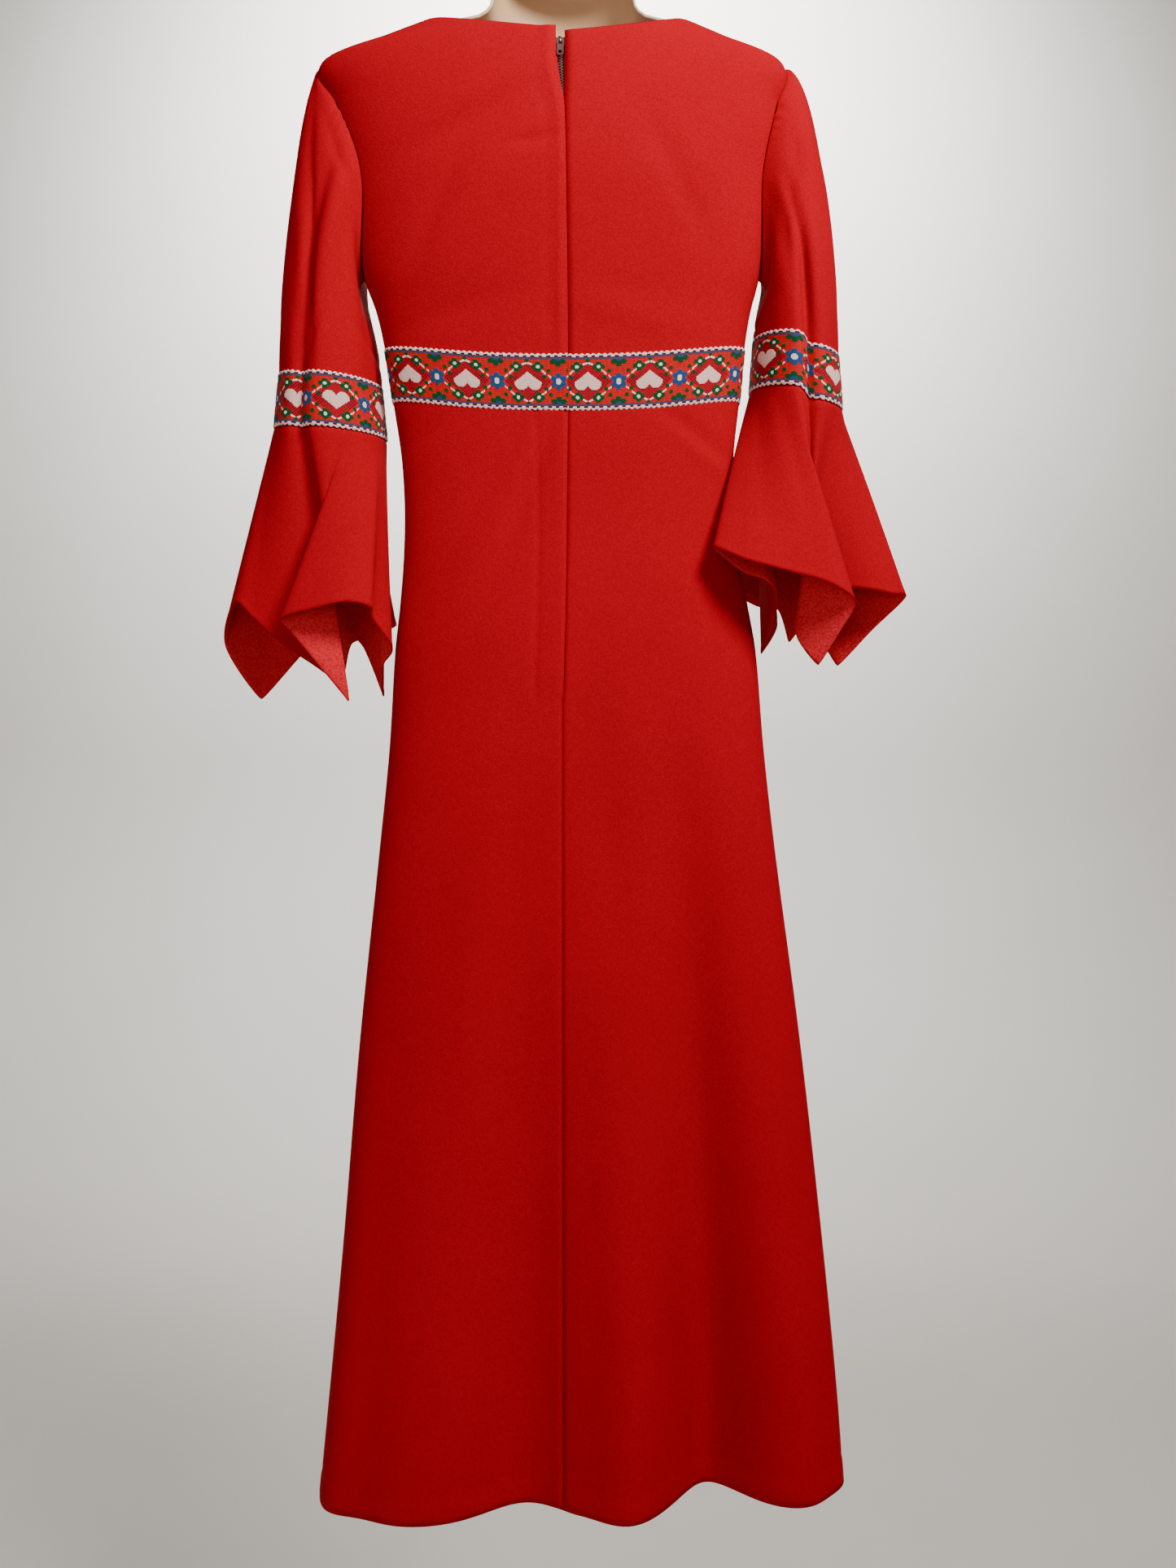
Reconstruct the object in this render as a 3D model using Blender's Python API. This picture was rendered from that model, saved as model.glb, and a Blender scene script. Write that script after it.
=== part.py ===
"""A red double-knit dress with ribbon bands and square sleeve flounces, on a hanging torso form.

The tables and sizes are in millimetres and the meshes in metres. +Z is up, the front of the dress
faces -Y, and +X is the wearer's left. Heights in the tables are above the hem. The origin is the
crown of the hook, where it hangs on a rail.
"""

import math

import bmesh
import bpy
from mathutils import Vector

MM = 0.001
HOOK_ABOVE_HEM = 1410.0
CLOTH = 1.4
SEAM_GAP = 0.3
RIBBON_THICK = 1.0
RIBBON_WIDE = 46.0

# Dress heights above the hem
WAIST_SIDE = 969.0
WAIST_DIP_BACK = 17.0
WAIST_BACK = WAIST_SIDE - WAIST_DIP_BACK
UNDERARM = 1055.0
SHOULDER_TIP = 1240.0
NECK_POINT = 1280.0
NECK_BACK = 1249.0
NECK_FRONT = 1205.0
ZIP_FOOT = 684.0
ZIP_HEAD = 1243.0

# The dress as it hangs on the form, section by section
# height, half width, centre x, front depth, back depth, squareness
BODY = (
    (0.0, 228.0, -18.0, 104.0, 58.0, 2.4),
    (87.0, 220.7, -19.0, 102.0, 58.0, 2.4),
    (215.0, 208.6, -18.6, 99.0, 57.0, 2.4),
    (387.0, 192.0, -16.0, 96.0, 55.0, 2.4),
    (558.0, 172.0, -13.6, 92.0, 52.0, 2.4),
    (644.0, 163.0, -13.0, 90.0, 50.0, 2.4),
    (729.0, 157.0, -12.0, 85.0, 46.0, 2.4),
    (772.0, 151.0, -10.5, 80.0, 43.0, 2.4),
    (815.0, 145.5, -8.0, 75.0, 40.0, 2.4),
    (858.0, 143.0, -6.0, 71.0, 38.0, 2.4),
    (901.0, 145.0, -5.0, 71.0, 38.0, 2.4),
    (944.0, 150.5, -4.0, 76.0, 39.0, 2.4),
    (994.0, 157.0, -2.5, 88.0, 42.0, 2.4),
    (1025.0, 163.0, -1.5, 97.0, 44.0, 2.4),
    (1055.0, 172.0, 0.0, 103.0, 47.0, 2.4),
    (1095.0, 177.0, 1.0, 104.0, 50.0, 2.4),
    (1140.0, 182.0, 3.0, 94.0, 52.0, 2.4),
    (1200.0, 195.0, 6.0, 73.0, 50.0, 2.4),
    (1240.0, 202.0, 8.5, 60.0, 44.0, 2.3),
    (1260.0, 156.0, 6.0, 54.0, 38.0, 2.2),
    (1280.0, 110.0, 3.6, 50.0, 28.0, 2.2),
)
HALF_WIDTH, CENTRE_X, FRONT, BACK, SQUARENESS = 1, 2, 3, 4, 5

# Soft folds of the skirt, deepest at the hem
# angle from centre back, spread, outward at the hem, height where it has faded
SKIRT_FOLDS = (
    (66.0, 12.0, 12.0, 420.0),
    (38.0, 13.0, 9.0, 560.0),
    (9.0, 11.0, -31.0, 620.0),
    (-6.0, 7.0, 12.0, 520.0),
    (-27.0, 12.0, -56.0, 760.0),
    (-54.0, 10.0, 8.0, 480.0),
    (122.0, 13.0, 12.0, 600.0),
    (148.0, 13.0, -26.0, 680.0),
    (176.0, 15.0, 14.0, 620.0),
    (207.0, 13.0, -30.0, 700.0),
    (233.0, 12.0, 10.0, 560.0),
)

# The centre back opening: height, edge of the lap (wearer's left), edge under it (wearer's right)
OPENING = (
    (ZIP_FOOT, -1.85, -2.15),
    (760.0, -2.8, -3.6),
    (860.0, -3.6, -4.7),
    (960.0, -4.2, -5.6),
    (1100.0, -2.4, -4.4),
    (1196.0, -0.6, -3.1),
    (1214.0, 2.4, -3.3),
    (1230.0, 3.8, -3.5),
    (1260.0, 4.3, -3.3),
)
LAP_EDGE, UNDER_EDGE = 1, 2
SEAM_X = -1.4

# Heights of the bodice's rows at the side seam, armhole and shoulder
BODICE_ROWS = (WAIST_SIDE, 994.0, 1025.0, 1055.0, 1076.0, 1098.0, 1122.0, 1146.0, 1170.0, 1194.0,
               1218.0, 1240.0, 1260.0, 1280.0)
UNDERARM_ROW = 3
TIP_ROW = 11
BACK_COLUMNS = 10
FRONT_COLUMNS = 20
ARMHOLE_BACK_DEG = {"left": 24.0, "right": 15.0}
ARMHOLE_FRONT_DEG = 22.0
SKIRT_ROWS = 11
HEM_TILT = 6.0

# Each cuff, where the sleeve ribbon sits
# side, centre x, centre y, ribbon top, half width at top, at foot, half depth, groove angle, groove,
# how much lower the outer side is
CUFFS = {
    "left": (1, 205.0, -12.0, 969.0, 43.5, 48.0, 52.0, 22.0, 7.0, -4.0),
    "right": (-1, -207.0, -12.0, 998.0, 36.0, 39.5, 52.0, 14.0, 8.0, 6.0),
}
GROOVE_SPREAD = 10.0
CUFF_TILT = 7.0
SLEEVE_RINGS = 5
UNDERARM_OUT = 2.0
UNDERARM_SHARE = 0.42

# How the sleeve's cloth leaves the armhole: outward, back or forward, and upward, at the underarm and
# at the head, and how far it runs before it turns down
UNDERARM_LEAVES_OUT, UNDERARM_LEAVES_UP = 0.95, -0.3
HEAD_OUT = {"left": 0.45, "right": 0.85}
HEAD_RISE = {"left": -0.5, "right": 0.3}
LEAVES_BACK = 0.75
UNDERARM_RUN, HEAD_RUN = 14.0, 30.0
CUFF_RUN_SHARE = 0.45
UNDERARM_FACES = (-0.35, 1.3, -1.0)

# Each flounce's hem, a row for each fold, from the outer side round by the back to the inner side
# and on round the front: out from the cuff's centre, towards the back, drop below the cuff
LEFT_HEM_BACK = (
    (94, -8, 178), (77, 17, 147), (59, 23, 160), (34, 25, 183), (2, 22, 207), (-19, 23, 226), (-23, 33, 229),
    (22, 50, 170), (27, 60, 158), (0, 66, 153), (-26, 67, 150), (-45, 58, 151), (-40, 42, 158), (-60, 26, 186),
)
LEFT_HEM_FRONT = (
    (-49, 11, 200), (-45, -7, 212), (-43, -24, 222), (-24, -36, 182), (-6, -42, 166),
    (-30, -66, 160), (-44, -94, 158), (-20, -104, 168), (-4, -80, 178), (8, -106, 200),
    (30, -112, 172), (36, -82, 160), (20, -56, 170), (32, -44, 186), (70, -34, 222),
)
RIGHT_HEM_BACK = (
    (93, 4, 168), (80, 12, 166), (62, 15, 163), (38, 14, 161), (12, 13, 168), (-3, 17, 184), (-5, 26, 206),
    (12, 35, 228), (30, 45, 194), (38, 55, 178), (24, 63, 172), (8, 65, 167), (-12, 66, 162),
    (-34, 66, 154), (-58, 62, 146), (-78, 48, 135),
)
RIGHT_HEM_FRONT = (
    (-52, 38, 153), (-33, 36, 160), (-22, 27, 176), (-27, 11, 202), (-29, -4, 216),
    (-14, -24, 190), (-26, -50, 164), (-44, -78, 158), (-22, -98, 168), (-4, -76, 176),
    (10, -100, 202), (32, -106, 172), (38, -76, 160), (22, -50, 180), (40, -30, 223), (72, -18, 197),
)
FLOUNCE_RINGS = 4
STEPS_PER_FOLD = 2

# The torso form: a hollow-backed shell, section by section, and its neck
# height, half width, centre x, front depth, back depth, squareness
FORM = (
    (690.0, 146.0, -8.0, 74.0, 40.0, 2.4),
    (729.0, 149.0, -10.0, 78.0, 41.0, 2.4),
    (772.0, 145.0, -9.5, 75.0, 38.0, 2.4),
    (815.0, 140.0, -7.5, 70.0, 35.0, 2.4),
    (858.0, 138.0, -6.0, 66.5, 34.0, 2.4),
    (901.0, 140.0, -5.0, 66.5, 34.0, 2.4),
    (944.0, 145.5, -4.0, 71.5, 35.0, 2.4),
    (994.0, 152.0, -2.5, 84.0, 38.0, 2.4),
    (1025.0, 158.0, -1.5, 93.5, 40.0, 2.4),
    (1055.0, 164.0, 0.0, 99.5, 43.0, 2.4),
    (1095.0, 165.0, 1.0, 101.0, 46.0, 2.4),
    (1140.0, 170.0, 3.0, 91.0, 48.0, 2.4),
    (1200.0, 186.0, 6.0, 70.0, 46.0, 2.4),
    (1220.0, 186.0, 7.5, 62.0, 42.0, 2.35),
    (1231.0, 186.0, 8.0, 57.0, 40.0, 2.3),
    (1239.0, 181.0, 8.0, 53.0, 37.0, 2.3),
    (1246.0, 170.0, 7.2, 50.5, 35.0, 2.25),
    (1259.0, 150.0, 6.0, 49.0, 33.0, 2.2),
    (1269.2, 131.5, 4.8, 47.0, 29.0, 2.2),
    (1277.0, 112.0, 3.6, 46.0, 26.0, 2.2),
    (1281.0, 92.0, 1.0, 47.0, 26.0, 2.1),
    (1285.0, 75.0, -0.6, 47.0, 26.0, 2.0),
    (1292.0, 65.5, -1.0, 47.0, 27.0, 2.0),
    (1302.0, 63.2, -1.2, 47.5, 27.0, 2.0),
    (1338.0, 62.5, -1.2, 49.0, 28.0, 2.0),
)
FORM_THICK = 2.6
FORM_RIM_DEG = 80.0
FORM_COLUMNS = 18
FORM_ROW_HEIGHTS = (690.0, 729.0, 772.0, 858.0, 944.0, 994.0, 1040.0, 1095.0, 1150.0, 1200.0,
                    1220.0, 1231.0, 1239.0, 1246.0, 1259.0, 1269.2, 1277.0, 1281.0, 1285.0, 1292.0,
                    1302.0, 1338.0)
NECK_CAP_THICK = 4.0

# The hook: a wire shank that ends in a crook round the rail
HOOK_WIRE = 4.0
CROOK_RADIUS = 21.0
CROOK_START_DEG = -65.0
CROOK_END_DEG = 200.0
SHANK_BELOW_CROOK = 8.0

# The zip: chain, tape, slider and pull tab
CHAIN_WIDE = 4.4
CHAIN_THICK = 1.0
TAPE_WIDE = 24.0
TAPE_THICK = 0.8
BOTTOM_STOP = 4.0
SLIDER_WIDE, SLIDER_TALL = 6.4, 8.6
SLIDER_HEIGHT = 1235.0
SLIDER_X = 0.2
TAB_WIDE, TAB_LONG, TAB_THICK = 5.6, 14.0, 1.0
TAB_BAR = 1.2
TAB_STAND_OFF = 1.2
TAB_CORNER = 1.0
TAB_HOLE_HALF, TAB_HOLE_LONG = 1.5, 2.6
TAB_WINDOW_HALF, TAB_WINDOW_LOW, TAB_WINDOW_HIGH = 1.6, 1.3, 4.6
SLIDER_INNER, SLIDER_OUTER = -0.3, 1.2
SLIDER_CORNER = 1.6
BAIL_WIRE = 0.9
BAIL_HALF = 2.2
BAIL_RISE = 2.65
BAIL_ROOT = 0.4

COLOURS = {
    "cloth": ((0.56, 0.004, 0.008), 0.85, 0.0),
    "ribbon": ((0.55, 0.04, 0.03), 0.8, 0.0),
    "form": ((0.46, 0.23, 0.10), 0.4, 0.0),
    "steel": ((0.62, 0.61, 0.58), 0.3, 1.0),
    "zip": ((0.30, 0.01, 0.015), 0.8, 0.0),
}


def clear_scene():
    for thing in list(bpy.data.objects):
        bpy.data.objects.remove(thing, do_unlink=True)


def material(name):
    """The Principled material of one finish, made once."""
    found = bpy.data.materials.get(name)
    if found:
        return found
    colour, roughness, metallic = COLOURS[name]
    made = bpy.data.materials.new(name)
    made.use_nodes = True
    shader = made.node_tree.nodes["Principled BSDF"]
    shader.inputs["Base Color"].default_value = (*colour, 1.0)
    shader.inputs["Roughness"].default_value = roughness
    shader.inputs["Metallic"].default_value = metallic
    return made


def place(x, y, height):
    """A table point in millimetres as a point of the part in metres."""
    return Vector((x, y, height - HOOK_ABOVE_HEM)) * MM


def add_part(mesh, name, finish):
    thing = bpy.data.objects.new(name, mesh)
    bpy.data.collections["Dress on hanging form"].objects.link(thing)
    mesh.materials.clear()
    mesh.materials.append(material(finish))
    mesh.shade_smooth()
    mesh.set_sharp_from_angle(angle=math.radians(50))
    return thing


def between(rows, column, at):
    """The table's value between its rows, on a smooth curve through them."""
    last = len(rows) - 1
    k = 0
    while k < last - 1 and at > rows[k + 1][0]:
        k += 1

    def slope(i):
        low, high = rows[max(i - 1, 0)], rows[min(i + 1, last)]
        return (high[column] - low[column]) / (high[0] - low[0])

    low, high = rows[k], rows[k + 1]
    span = high[0] - low[0]
    t = min(max((at - low[0]) / span, 0.0), 1.0)
    return (
        (1 + 2 * t) * (1 - t) ** 2 * low[column]
        + t * (1 - t) ** 2 * span * slope(k)
        + t * t * (3 - 2 * t) * high[column]
        - t * t * (1 - t) * span * slope(k + 1)
    )


def signed_power(value, power):
    return math.copysign(abs(value) ** power, value)


def section_point(table, angle, height):
    """A point of a table's surface. The angle is 0 at centre back and 90 at the wearer's left."""
    s, c = math.sin(math.radians(angle)), math.cos(math.radians(angle))
    power = 2 / between(table, SQUARENESS, height)
    depth = between(table, BACK if c > 0 else FRONT, height)
    x = between(table, CENTRE_X, height) + between(table, HALF_WIDTH, height) * signed_power(s, power)
    return Vector((x, depth * signed_power(c, power), height))


def fold_depth(angle, height):
    depth = 0.0
    for fold_angle, spread, outward, faded in SKIRT_FOLDS:
        away = (angle - fold_angle + 180) % 360 - 180
        rise = max(1 - max(height, 0.0) / faded, 0.0)
        depth += outward * math.exp(-((away / spread) ** 2)) * rise**1.4
    return depth


def body_point(angle, height):
    point = section_point(BODY, angle, height)
    turn = math.radians(angle)
    return point + Vector((0.35 * math.sin(turn), math.cos(turn), 0)) * fold_depth(angle, height)


def normal_of(surface, angle, height):
    """The outward direction of a surface, from its slopes round and up."""
    round_slope = surface(angle + 1.5, height) - surface(angle - 1.5, height)
    up_slope = surface(angle, height + 1.5) - surface(angle, height - 1.5)
    return up_slope.cross(round_slope).normalized()


def angle_at(x, height):
    """The angle on the back of the body where it has this x."""
    share = (x - between(BODY, CENTRE_X, height)) / between(BODY, HALF_WIDTH, height)
    s = signed_power(share, between(BODY, SQUARENESS, height) / 2)
    return math.degrees(math.asin(max(-1.0, min(1.0, s))))


def waist_height(angle):
    return WAIST_SIDE - WAIST_DIP_BACK * max(math.cos(math.radians(angle)), 0.0) ** 2


def cloth_wall(name, grid, normals, thickness, finish, ring=False):
    """A closed wall over a grid of points: half its thickness on each side, and a rim all round."""
    bm = bmesh.new()
    layers = []
    for half in (thickness / 2, -thickness / 2):
        layers.append([
            [bm.verts.new(place(*(point + normal * half))) for point, normal in zip(points, row)]
            for points, row in zip(grid, normals)
        ])
    outer, inner = layers
    rows, columns = len(grid), len(grid[0])
    across = columns if ring else columns - 1
    for r in range(rows - 1):
        for c in range(across):
            d = (c + 1) % columns
            bm.faces.new((outer[r][c], outer[r][d], outer[r + 1][d], outer[r + 1][c]))
            bm.faces.new((inner[r][c], inner[r + 1][c], inner[r + 1][d], inner[r][d]))
    for r in (0, rows - 1):
        for c in range(across):
            d = (c + 1) % columns
            bm.faces.new((outer[r][c], inner[r][c], inner[r][d], outer[r][d]))
    if not ring:
        for c in (0, columns - 1):
            for r in range(rows - 1):
                bm.faces.new((outer[r][c], outer[r + 1][c], inner[r + 1][c], inner[r][c]))
    bmesh.ops.recalc_face_normals(bm, faces=bm.faces)
    mesh = bpy.data.meshes.new(name)
    bm.to_mesh(mesh)
    bm.free()
    return add_part(mesh, name, finish)


def trim(grid, sides):
    """Moves the grid's named edges in by half a seam gap, along the cloth."""
    half = SEAM_GAP / 2
    trimmed = [list(row) for row in grid]
    if "first column" in sides:
        for old, row in zip(grid, trimmed):
            row[0] = row[0] + (old[1] - old[0]).normalized() * half
    if "last column" in sides:
        for old, row in zip(grid, trimmed):
            row[-1] = row[-1] + (old[-2] - old[-1]).normalized() * half
    if "first row" in sides:
        trimmed[0] = [p + (b - a).normalized() * half for p, a, b in zip(trimmed[0], grid[0], grid[1])]
    if "last row" in sides:
        trimmed[-1] = [
            p + (b - a).normalized() * half for p, a, b in zip(trimmed[-1], grid[-1], grid[-2])
        ]
    return trimmed


def armhole_angle(height, depth_deg):
    """The bodice's edge at the sleeve: it leaves the side seam, curves in and comes back at the tip."""
    if height <= UNDERARM or height >= SHOULDER_TIP:
        return 90.0
    share = (height - UNDERARM) / (SHOULDER_TIP - UNDERARM)
    return 90.0 - depth_deg * math.sin(math.pi * share) ** 0.7


def across(start, end, share):
    return start + (end - start) * share


def bodice_places(centre_angle, side, armhole_deg, centre_top, columns):
    """Angle and height of each point of half a bodice, from its centre line to its side edge."""
    places = []
    for edge_height in BODICE_ROWS:
        share_up = (edge_height - WAIST_SIDE) / (NECK_POINT - WAIST_SIDE)
        row = []
        for c in range(columns + 1):
            s = c / columns
            top = centre_top + (NECK_POINT - centre_top) * math.sin(math.radians(90 * s)) ** 1.15
            edge = armhole_angle(edge_height, armhole_deg)
            if abs(centre_angle(WAIST_BACK)) > 90:
                edge = 180 - edge
            foot = waist_height(across(centre_angle(WAIST_BACK), side * 90, s))
            height = foot + (top - foot) * share_up
            row.append((across(centre_angle(height), side * edge, s), height))
        places.append(row)
    return places


def points_and_normals(surface, places):
    grid = [[surface(angle, height) for angle, height in row] for row in places]
    normals = [[normal_of(surface, angle, height) for angle, height in row] for row in places]
    return grid, normals


def back_line(column, side):
    """The angle of a back panel's centre edge at a height: the zip opening, then the seam."""

    def angle(height):
        if height < ZIP_FOOT:
            return angle_at(SEAM_X + side * SEAM_GAP / 2, height)
        return angle_at(between(OPENING, column, height), height)

    return angle


def make_bodice():
    """Front bodice in one piece and two back halves. Gives the edges that other pieces follow."""
    edges = {}
    panels = {}
    for side, name, column in ((1, "left", LAP_EDGE), (-1, "right", UNDER_EDGE)):
        places = bodice_places(back_line(column, side), side, ARMHOLE_BACK_DEG[name], NECK_BACK,
                               BACK_COLUMNS)
        grid, normals = points_and_normals(body_point, places)
        edges[name, "back"] = armhole_edge(grid, normals)
        panels[name] = grid, normals
        cut = trim(grid, ("last column", "first row"))
        cloth_wall("back_bodice_" + name, cut, normals, CLOTH, "cloth")
    halves = {}
    for side in (1, -1):
        places = bodice_places(lambda height, side=side: 180.0 * side, side, ARMHOLE_FRONT_DEG, NECK_FRONT,
                               FRONT_COLUMNS // 2)
        halves[side] = points_and_normals(body_point, places)
        edges["left" if side > 0 else "right", "front"] = armhole_edge(*halves[side])
    grid = [row[:0:-1] + other for row, other in zip(halves[1][0], halves[-1][0])]
    normals = [row[:0:-1] + other for row, other in zip(halves[1][1], halves[-1][1])]
    panels["front"] = grid, normals
    cut = trim(grid, ("first column", "last column", "first row"))
    cloth_wall("front_bodice", cut, normals, CLOTH, "cloth")
    return edges, panels


def armhole_edge(grid, normals):
    """Point, normal and direction off the panel, from the underarm up to the shoulder tip."""
    rows = range(UNDERARM_ROW, TIP_ROW + 1)
    edge = [(grid[r][-1], normals[r][-1], (grid[r][-1] - grid[r][-2]).normalized()) for r in rows]
    tip, next_along = grid[TIP_ROW][-1], grid[TIP_ROW + 1][-1]
    edge[-1] = (tip, normals[TIP_ROW][-1], (tip - next_along).normalized())
    return edge


def skirt_places(start_line, end_line, columns):
    places = []
    for r in range(SKIRT_ROWS + 1):
        share = (r / SKIRT_ROWS) ** 0.9
        row = []
        for c in range(columns + 1):
            s = c / columns
            rough = across(start_line(WAIST_BACK), end_line(WAIST_BACK), s)
            foot = -HEM_TILT * math.sin(math.radians(rough))
            height = across(foot, waist_height(rough), share)
            row.append((across(start_line(height), end_line(height), s), height))
        places.append(row)
    return places


def make_skirt():
    """An A-line skirt: one front, and two backs that meet at the zip and the seam below it."""
    panels = {}
    for side, name, column in ((1, "left", LAP_EDGE), (-1, "right", UNDER_EDGE)):
        centre = back_line(column, side)
        places = skirt_places(centre, lambda height, side=side: 90.0 * side, BACK_COLUMNS)
        grid, normals = points_and_normals(body_point, places)
        panels[name] = grid, normals
        cut = trim(grid, ("last column", "last row"))
        cloth_wall("back_skirt_" + name, cut, normals, CLOTH, "cloth")
    places = skirt_places(lambda height: 90.0, lambda height: 270.0, FRONT_COLUMNS)
    grid, normals = points_and_normals(body_point, places)
    panels["front"] = grid, normals
    cut = trim(grid, ("first column", "last column", "last row"))
    cloth_wall("front_skirt", cut, normals, CLOTH, "cloth")
    return panels


def round_the_waist(panels, row):
    """One row of the panels, from the lap's edge round by the front to the edge under it."""
    line = []
    for which in (0, 1):
        left, front, right = (panels[name][which][row] for name in ("left", "front", "right"))
        line.append(left + front[1:] + right[-2::-1])
    return list(zip(*line))


def make_waist_ribbon(bodice, skirt):
    """The ribbon over the waist seam, made from the panels' points, moved out."""
    outward = CLOTH / 2 + SEAM_GAP + RIBBON_THICK / 2
    waist = round_the_waist(bodice, 0)
    grid, normals = [], []
    for next_row in (round_the_waist(skirt, -2), None, round_the_waist(bodice, 1)):
        row, row_normals = [], []
        for k, (point, normal) in enumerate(waist):
            if next_row:
                other, other_normal = next_row[k]
                share = RIBBON_WIDE / 2 / (other - point).length
                point = point.lerp(other, share)
                normal = normal.lerp(other_normal, share)
            row.append(point + normal * outward)
            row_normals.append(normal.normalized())
        grid.append(row)
        normals.append(row_normals)
    cloth_wall("waist_ribbon", grid, normals, RIBBON_THICK, "ribbon")


def cuff_point(cuff, angle, height):
    """A point of the sleeve's end. The angle is 0 at the back and 90 on the side away from the body."""
    side, centre_x, centre_y, top, half_top, half_foot, half_depth, groove_angle, groove, roll = cuff
    down = (top - height) / RIBBON_WIDE
    half = half_top + (half_foot - half_top) * max(down, 0.0)
    away = (angle - groove_angle + 180) % 360 - 180
    shrink = 1 - groove / half_depth * math.exp(-((away / GROOVE_SPREAD) ** 2))
    s, c = math.sin(math.radians(angle)), math.cos(math.radians(angle))
    return Vector((centre_x + side * half * s * shrink, centre_y + half_depth * c * shrink,
                   height - CUFF_TILT * c - roll * s))


def cuff_normal(cuff, angle, height):
    round_slope = cuff_point(cuff, angle + 2, height) - cuff_point(cuff, angle - 2, height)
    up_slope = cuff_point(cuff, angle, height + 2) - cuff_point(cuff, angle, height - 2)
    return up_slope.cross(round_slope).normalized() * cuff[0]


def bezier(a, b, c, d, t):
    u = 1 - t
    return a * u**3 + b * (3 * u * u * t) + c * (3 * u * t * t) + d * t**3


def grid_normals(grid, side):
    """Outward directions of a ring grid, from its own slopes."""
    rows, columns = len(grid), len(grid[0])
    normals = []
    for r in range(rows):
        low, high = max(r - 1, 0), min(r + 1, rows - 1)
        row = []
        for c in range(columns):
            round_slope = grid[r][(c + 1) % columns] - grid[r][c - 1]
            up_slope = grid[low][c] - grid[high][c]
            row.append(up_slope.cross(round_slope).normalized() * side)
        normals.append(row)
    return normals


def make_sleeve(name, edges):
    """A set-in sleeve: each line runs from its point of the armhole down to its place on the cuff."""
    cuff = CUFFS[name]
    side, top = cuff[0], cuff[3]
    back, front = edges[name, "back"], edges[name, "front"]
    loop = []
    for k, (point, normal, off) in enumerate(back):
        if k in (0, len(back) - 1):
            other = front[k]
            loop.append((point, (normal + other[1]).normalized(), (off + other[2]).normalized()))
        else:
            loop.append((point, normal, off))
    loop += front[-2:0:-1]
    halfway = []
    for k, (point, normal, off) in enumerate(loop):
        after = loop[(k + 1) % len(loop)]
        halfway.append((point, normal, off))
        halfway.append(((point + after[0]) / 2, (normal + after[1]).normalized(),
                        (off + after[2]).normalized()))
    count = len(halfway)
    foot = top - RIBBON_WIDE
    cuff_heights = (top - RIBBON_WIDE / 2, foot + SEAM_GAP / 2)
    grid = [[] for _ in range(SLEEVE_RINGS + 1 + len(cuff_heights))]
    head_normals = []
    for k, (point, normal, off) in enumerate(halfway):
        turn = 2 * math.pi * k / count
        angle = 270 + 360 * k / count
        head = (1 - math.cos(turn)) / 2
        low = max(1 - head / UNDERARM_SHARE, 0.0) ** 1.5
        outward = normal
        inward, back, up = UNDERARM_FACES
        normal = normal.lerp(Vector((inward * side, back * math.sin(turn), up)), low).normalized()
        head_normals.append(normal)
        start = point + off * (SEAM_GAP / 2 + CLOTH / 2 * abs(normal.dot(off)))
        start += outward * UNDERARM_OUT * low
        end = cuff_point(cuff, angle, top)
        leave = Vector((side * across(UNDERARM_LEAVES_OUT, HEAD_OUT[name], head),
                        LEAVES_BACK * math.sin(turn), across(UNDERARM_LEAVES_UP, HEAD_RISE[name], head)))
        past_seam = start + leave * across(UNDERARM_RUN, HEAD_RUN, head)
        above_cuff = end + Vector((0, 0, CUFF_RUN_SHARE * (start - end).length))
        for r in range(SLEEVE_RINGS + 1):
            grid[r].append(bezier(start, past_seam, above_cuff, end, r / SLEEVE_RINGS))
        for r, height in enumerate(cuff_heights):
            grid[SLEEVE_RINGS + 1 + r].append(cuff_point(cuff, angle, height))
    normals = grid_normals(grid, side)
    normals[0] = head_normals
    for r, height in enumerate((top,) + cuff_heights):
        normals[SLEEVE_RINGS + r] = [cuff_normal(cuff, 270 + 360 * k / count, height) for k in range(count)]
    cloth_wall("sleeve_" + name, grid, normals, CLOTH, "cloth", ring=True)


def make_sleeve_ribbon(name):
    cuff = CUFFS[name]
    outward = CLOTH / 2 + SEAM_GAP + RIBBON_THICK / 2
    columns = 4 * (TIP_ROW - UNDERARM_ROW)
    grid, normals = [], []
    for height in (cuff[3] - RIBBON_WIDE, cuff[3] - RIBBON_WIDE / 2, cuff[3]):
        angles = [270 + 360 * c / columns for c in range(columns)]
        row = [cuff_normal(cuff, angle, height) for angle in angles]
        grid.append([cuff_point(cuff, a, height) + n * outward for a, n in zip(angles, row)])
        normals.append(row)
    cloth_wall("sleeve_ribbon_" + name, grid, normals, RIBBON_THICK, "ribbon", ring=True)


def smooth_loop(points, steps):
    """A closed curve through the points, with this many steps to each."""
    count = len(points)
    curve = []
    for k in range(count):
        before, here, there, after = (points[(k + j) % count] for j in (-1, 0, 1, 2))
        for step in range(steps):
            t = step / steps
            curve.append(0.5 * (
                2 * here + (there - before) * t
                + (2 * before - 5 * here + 4 * there - after) * t**2
                + (3 * here - before - 3 * there + after) * t**3
            ))
    return curve


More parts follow.
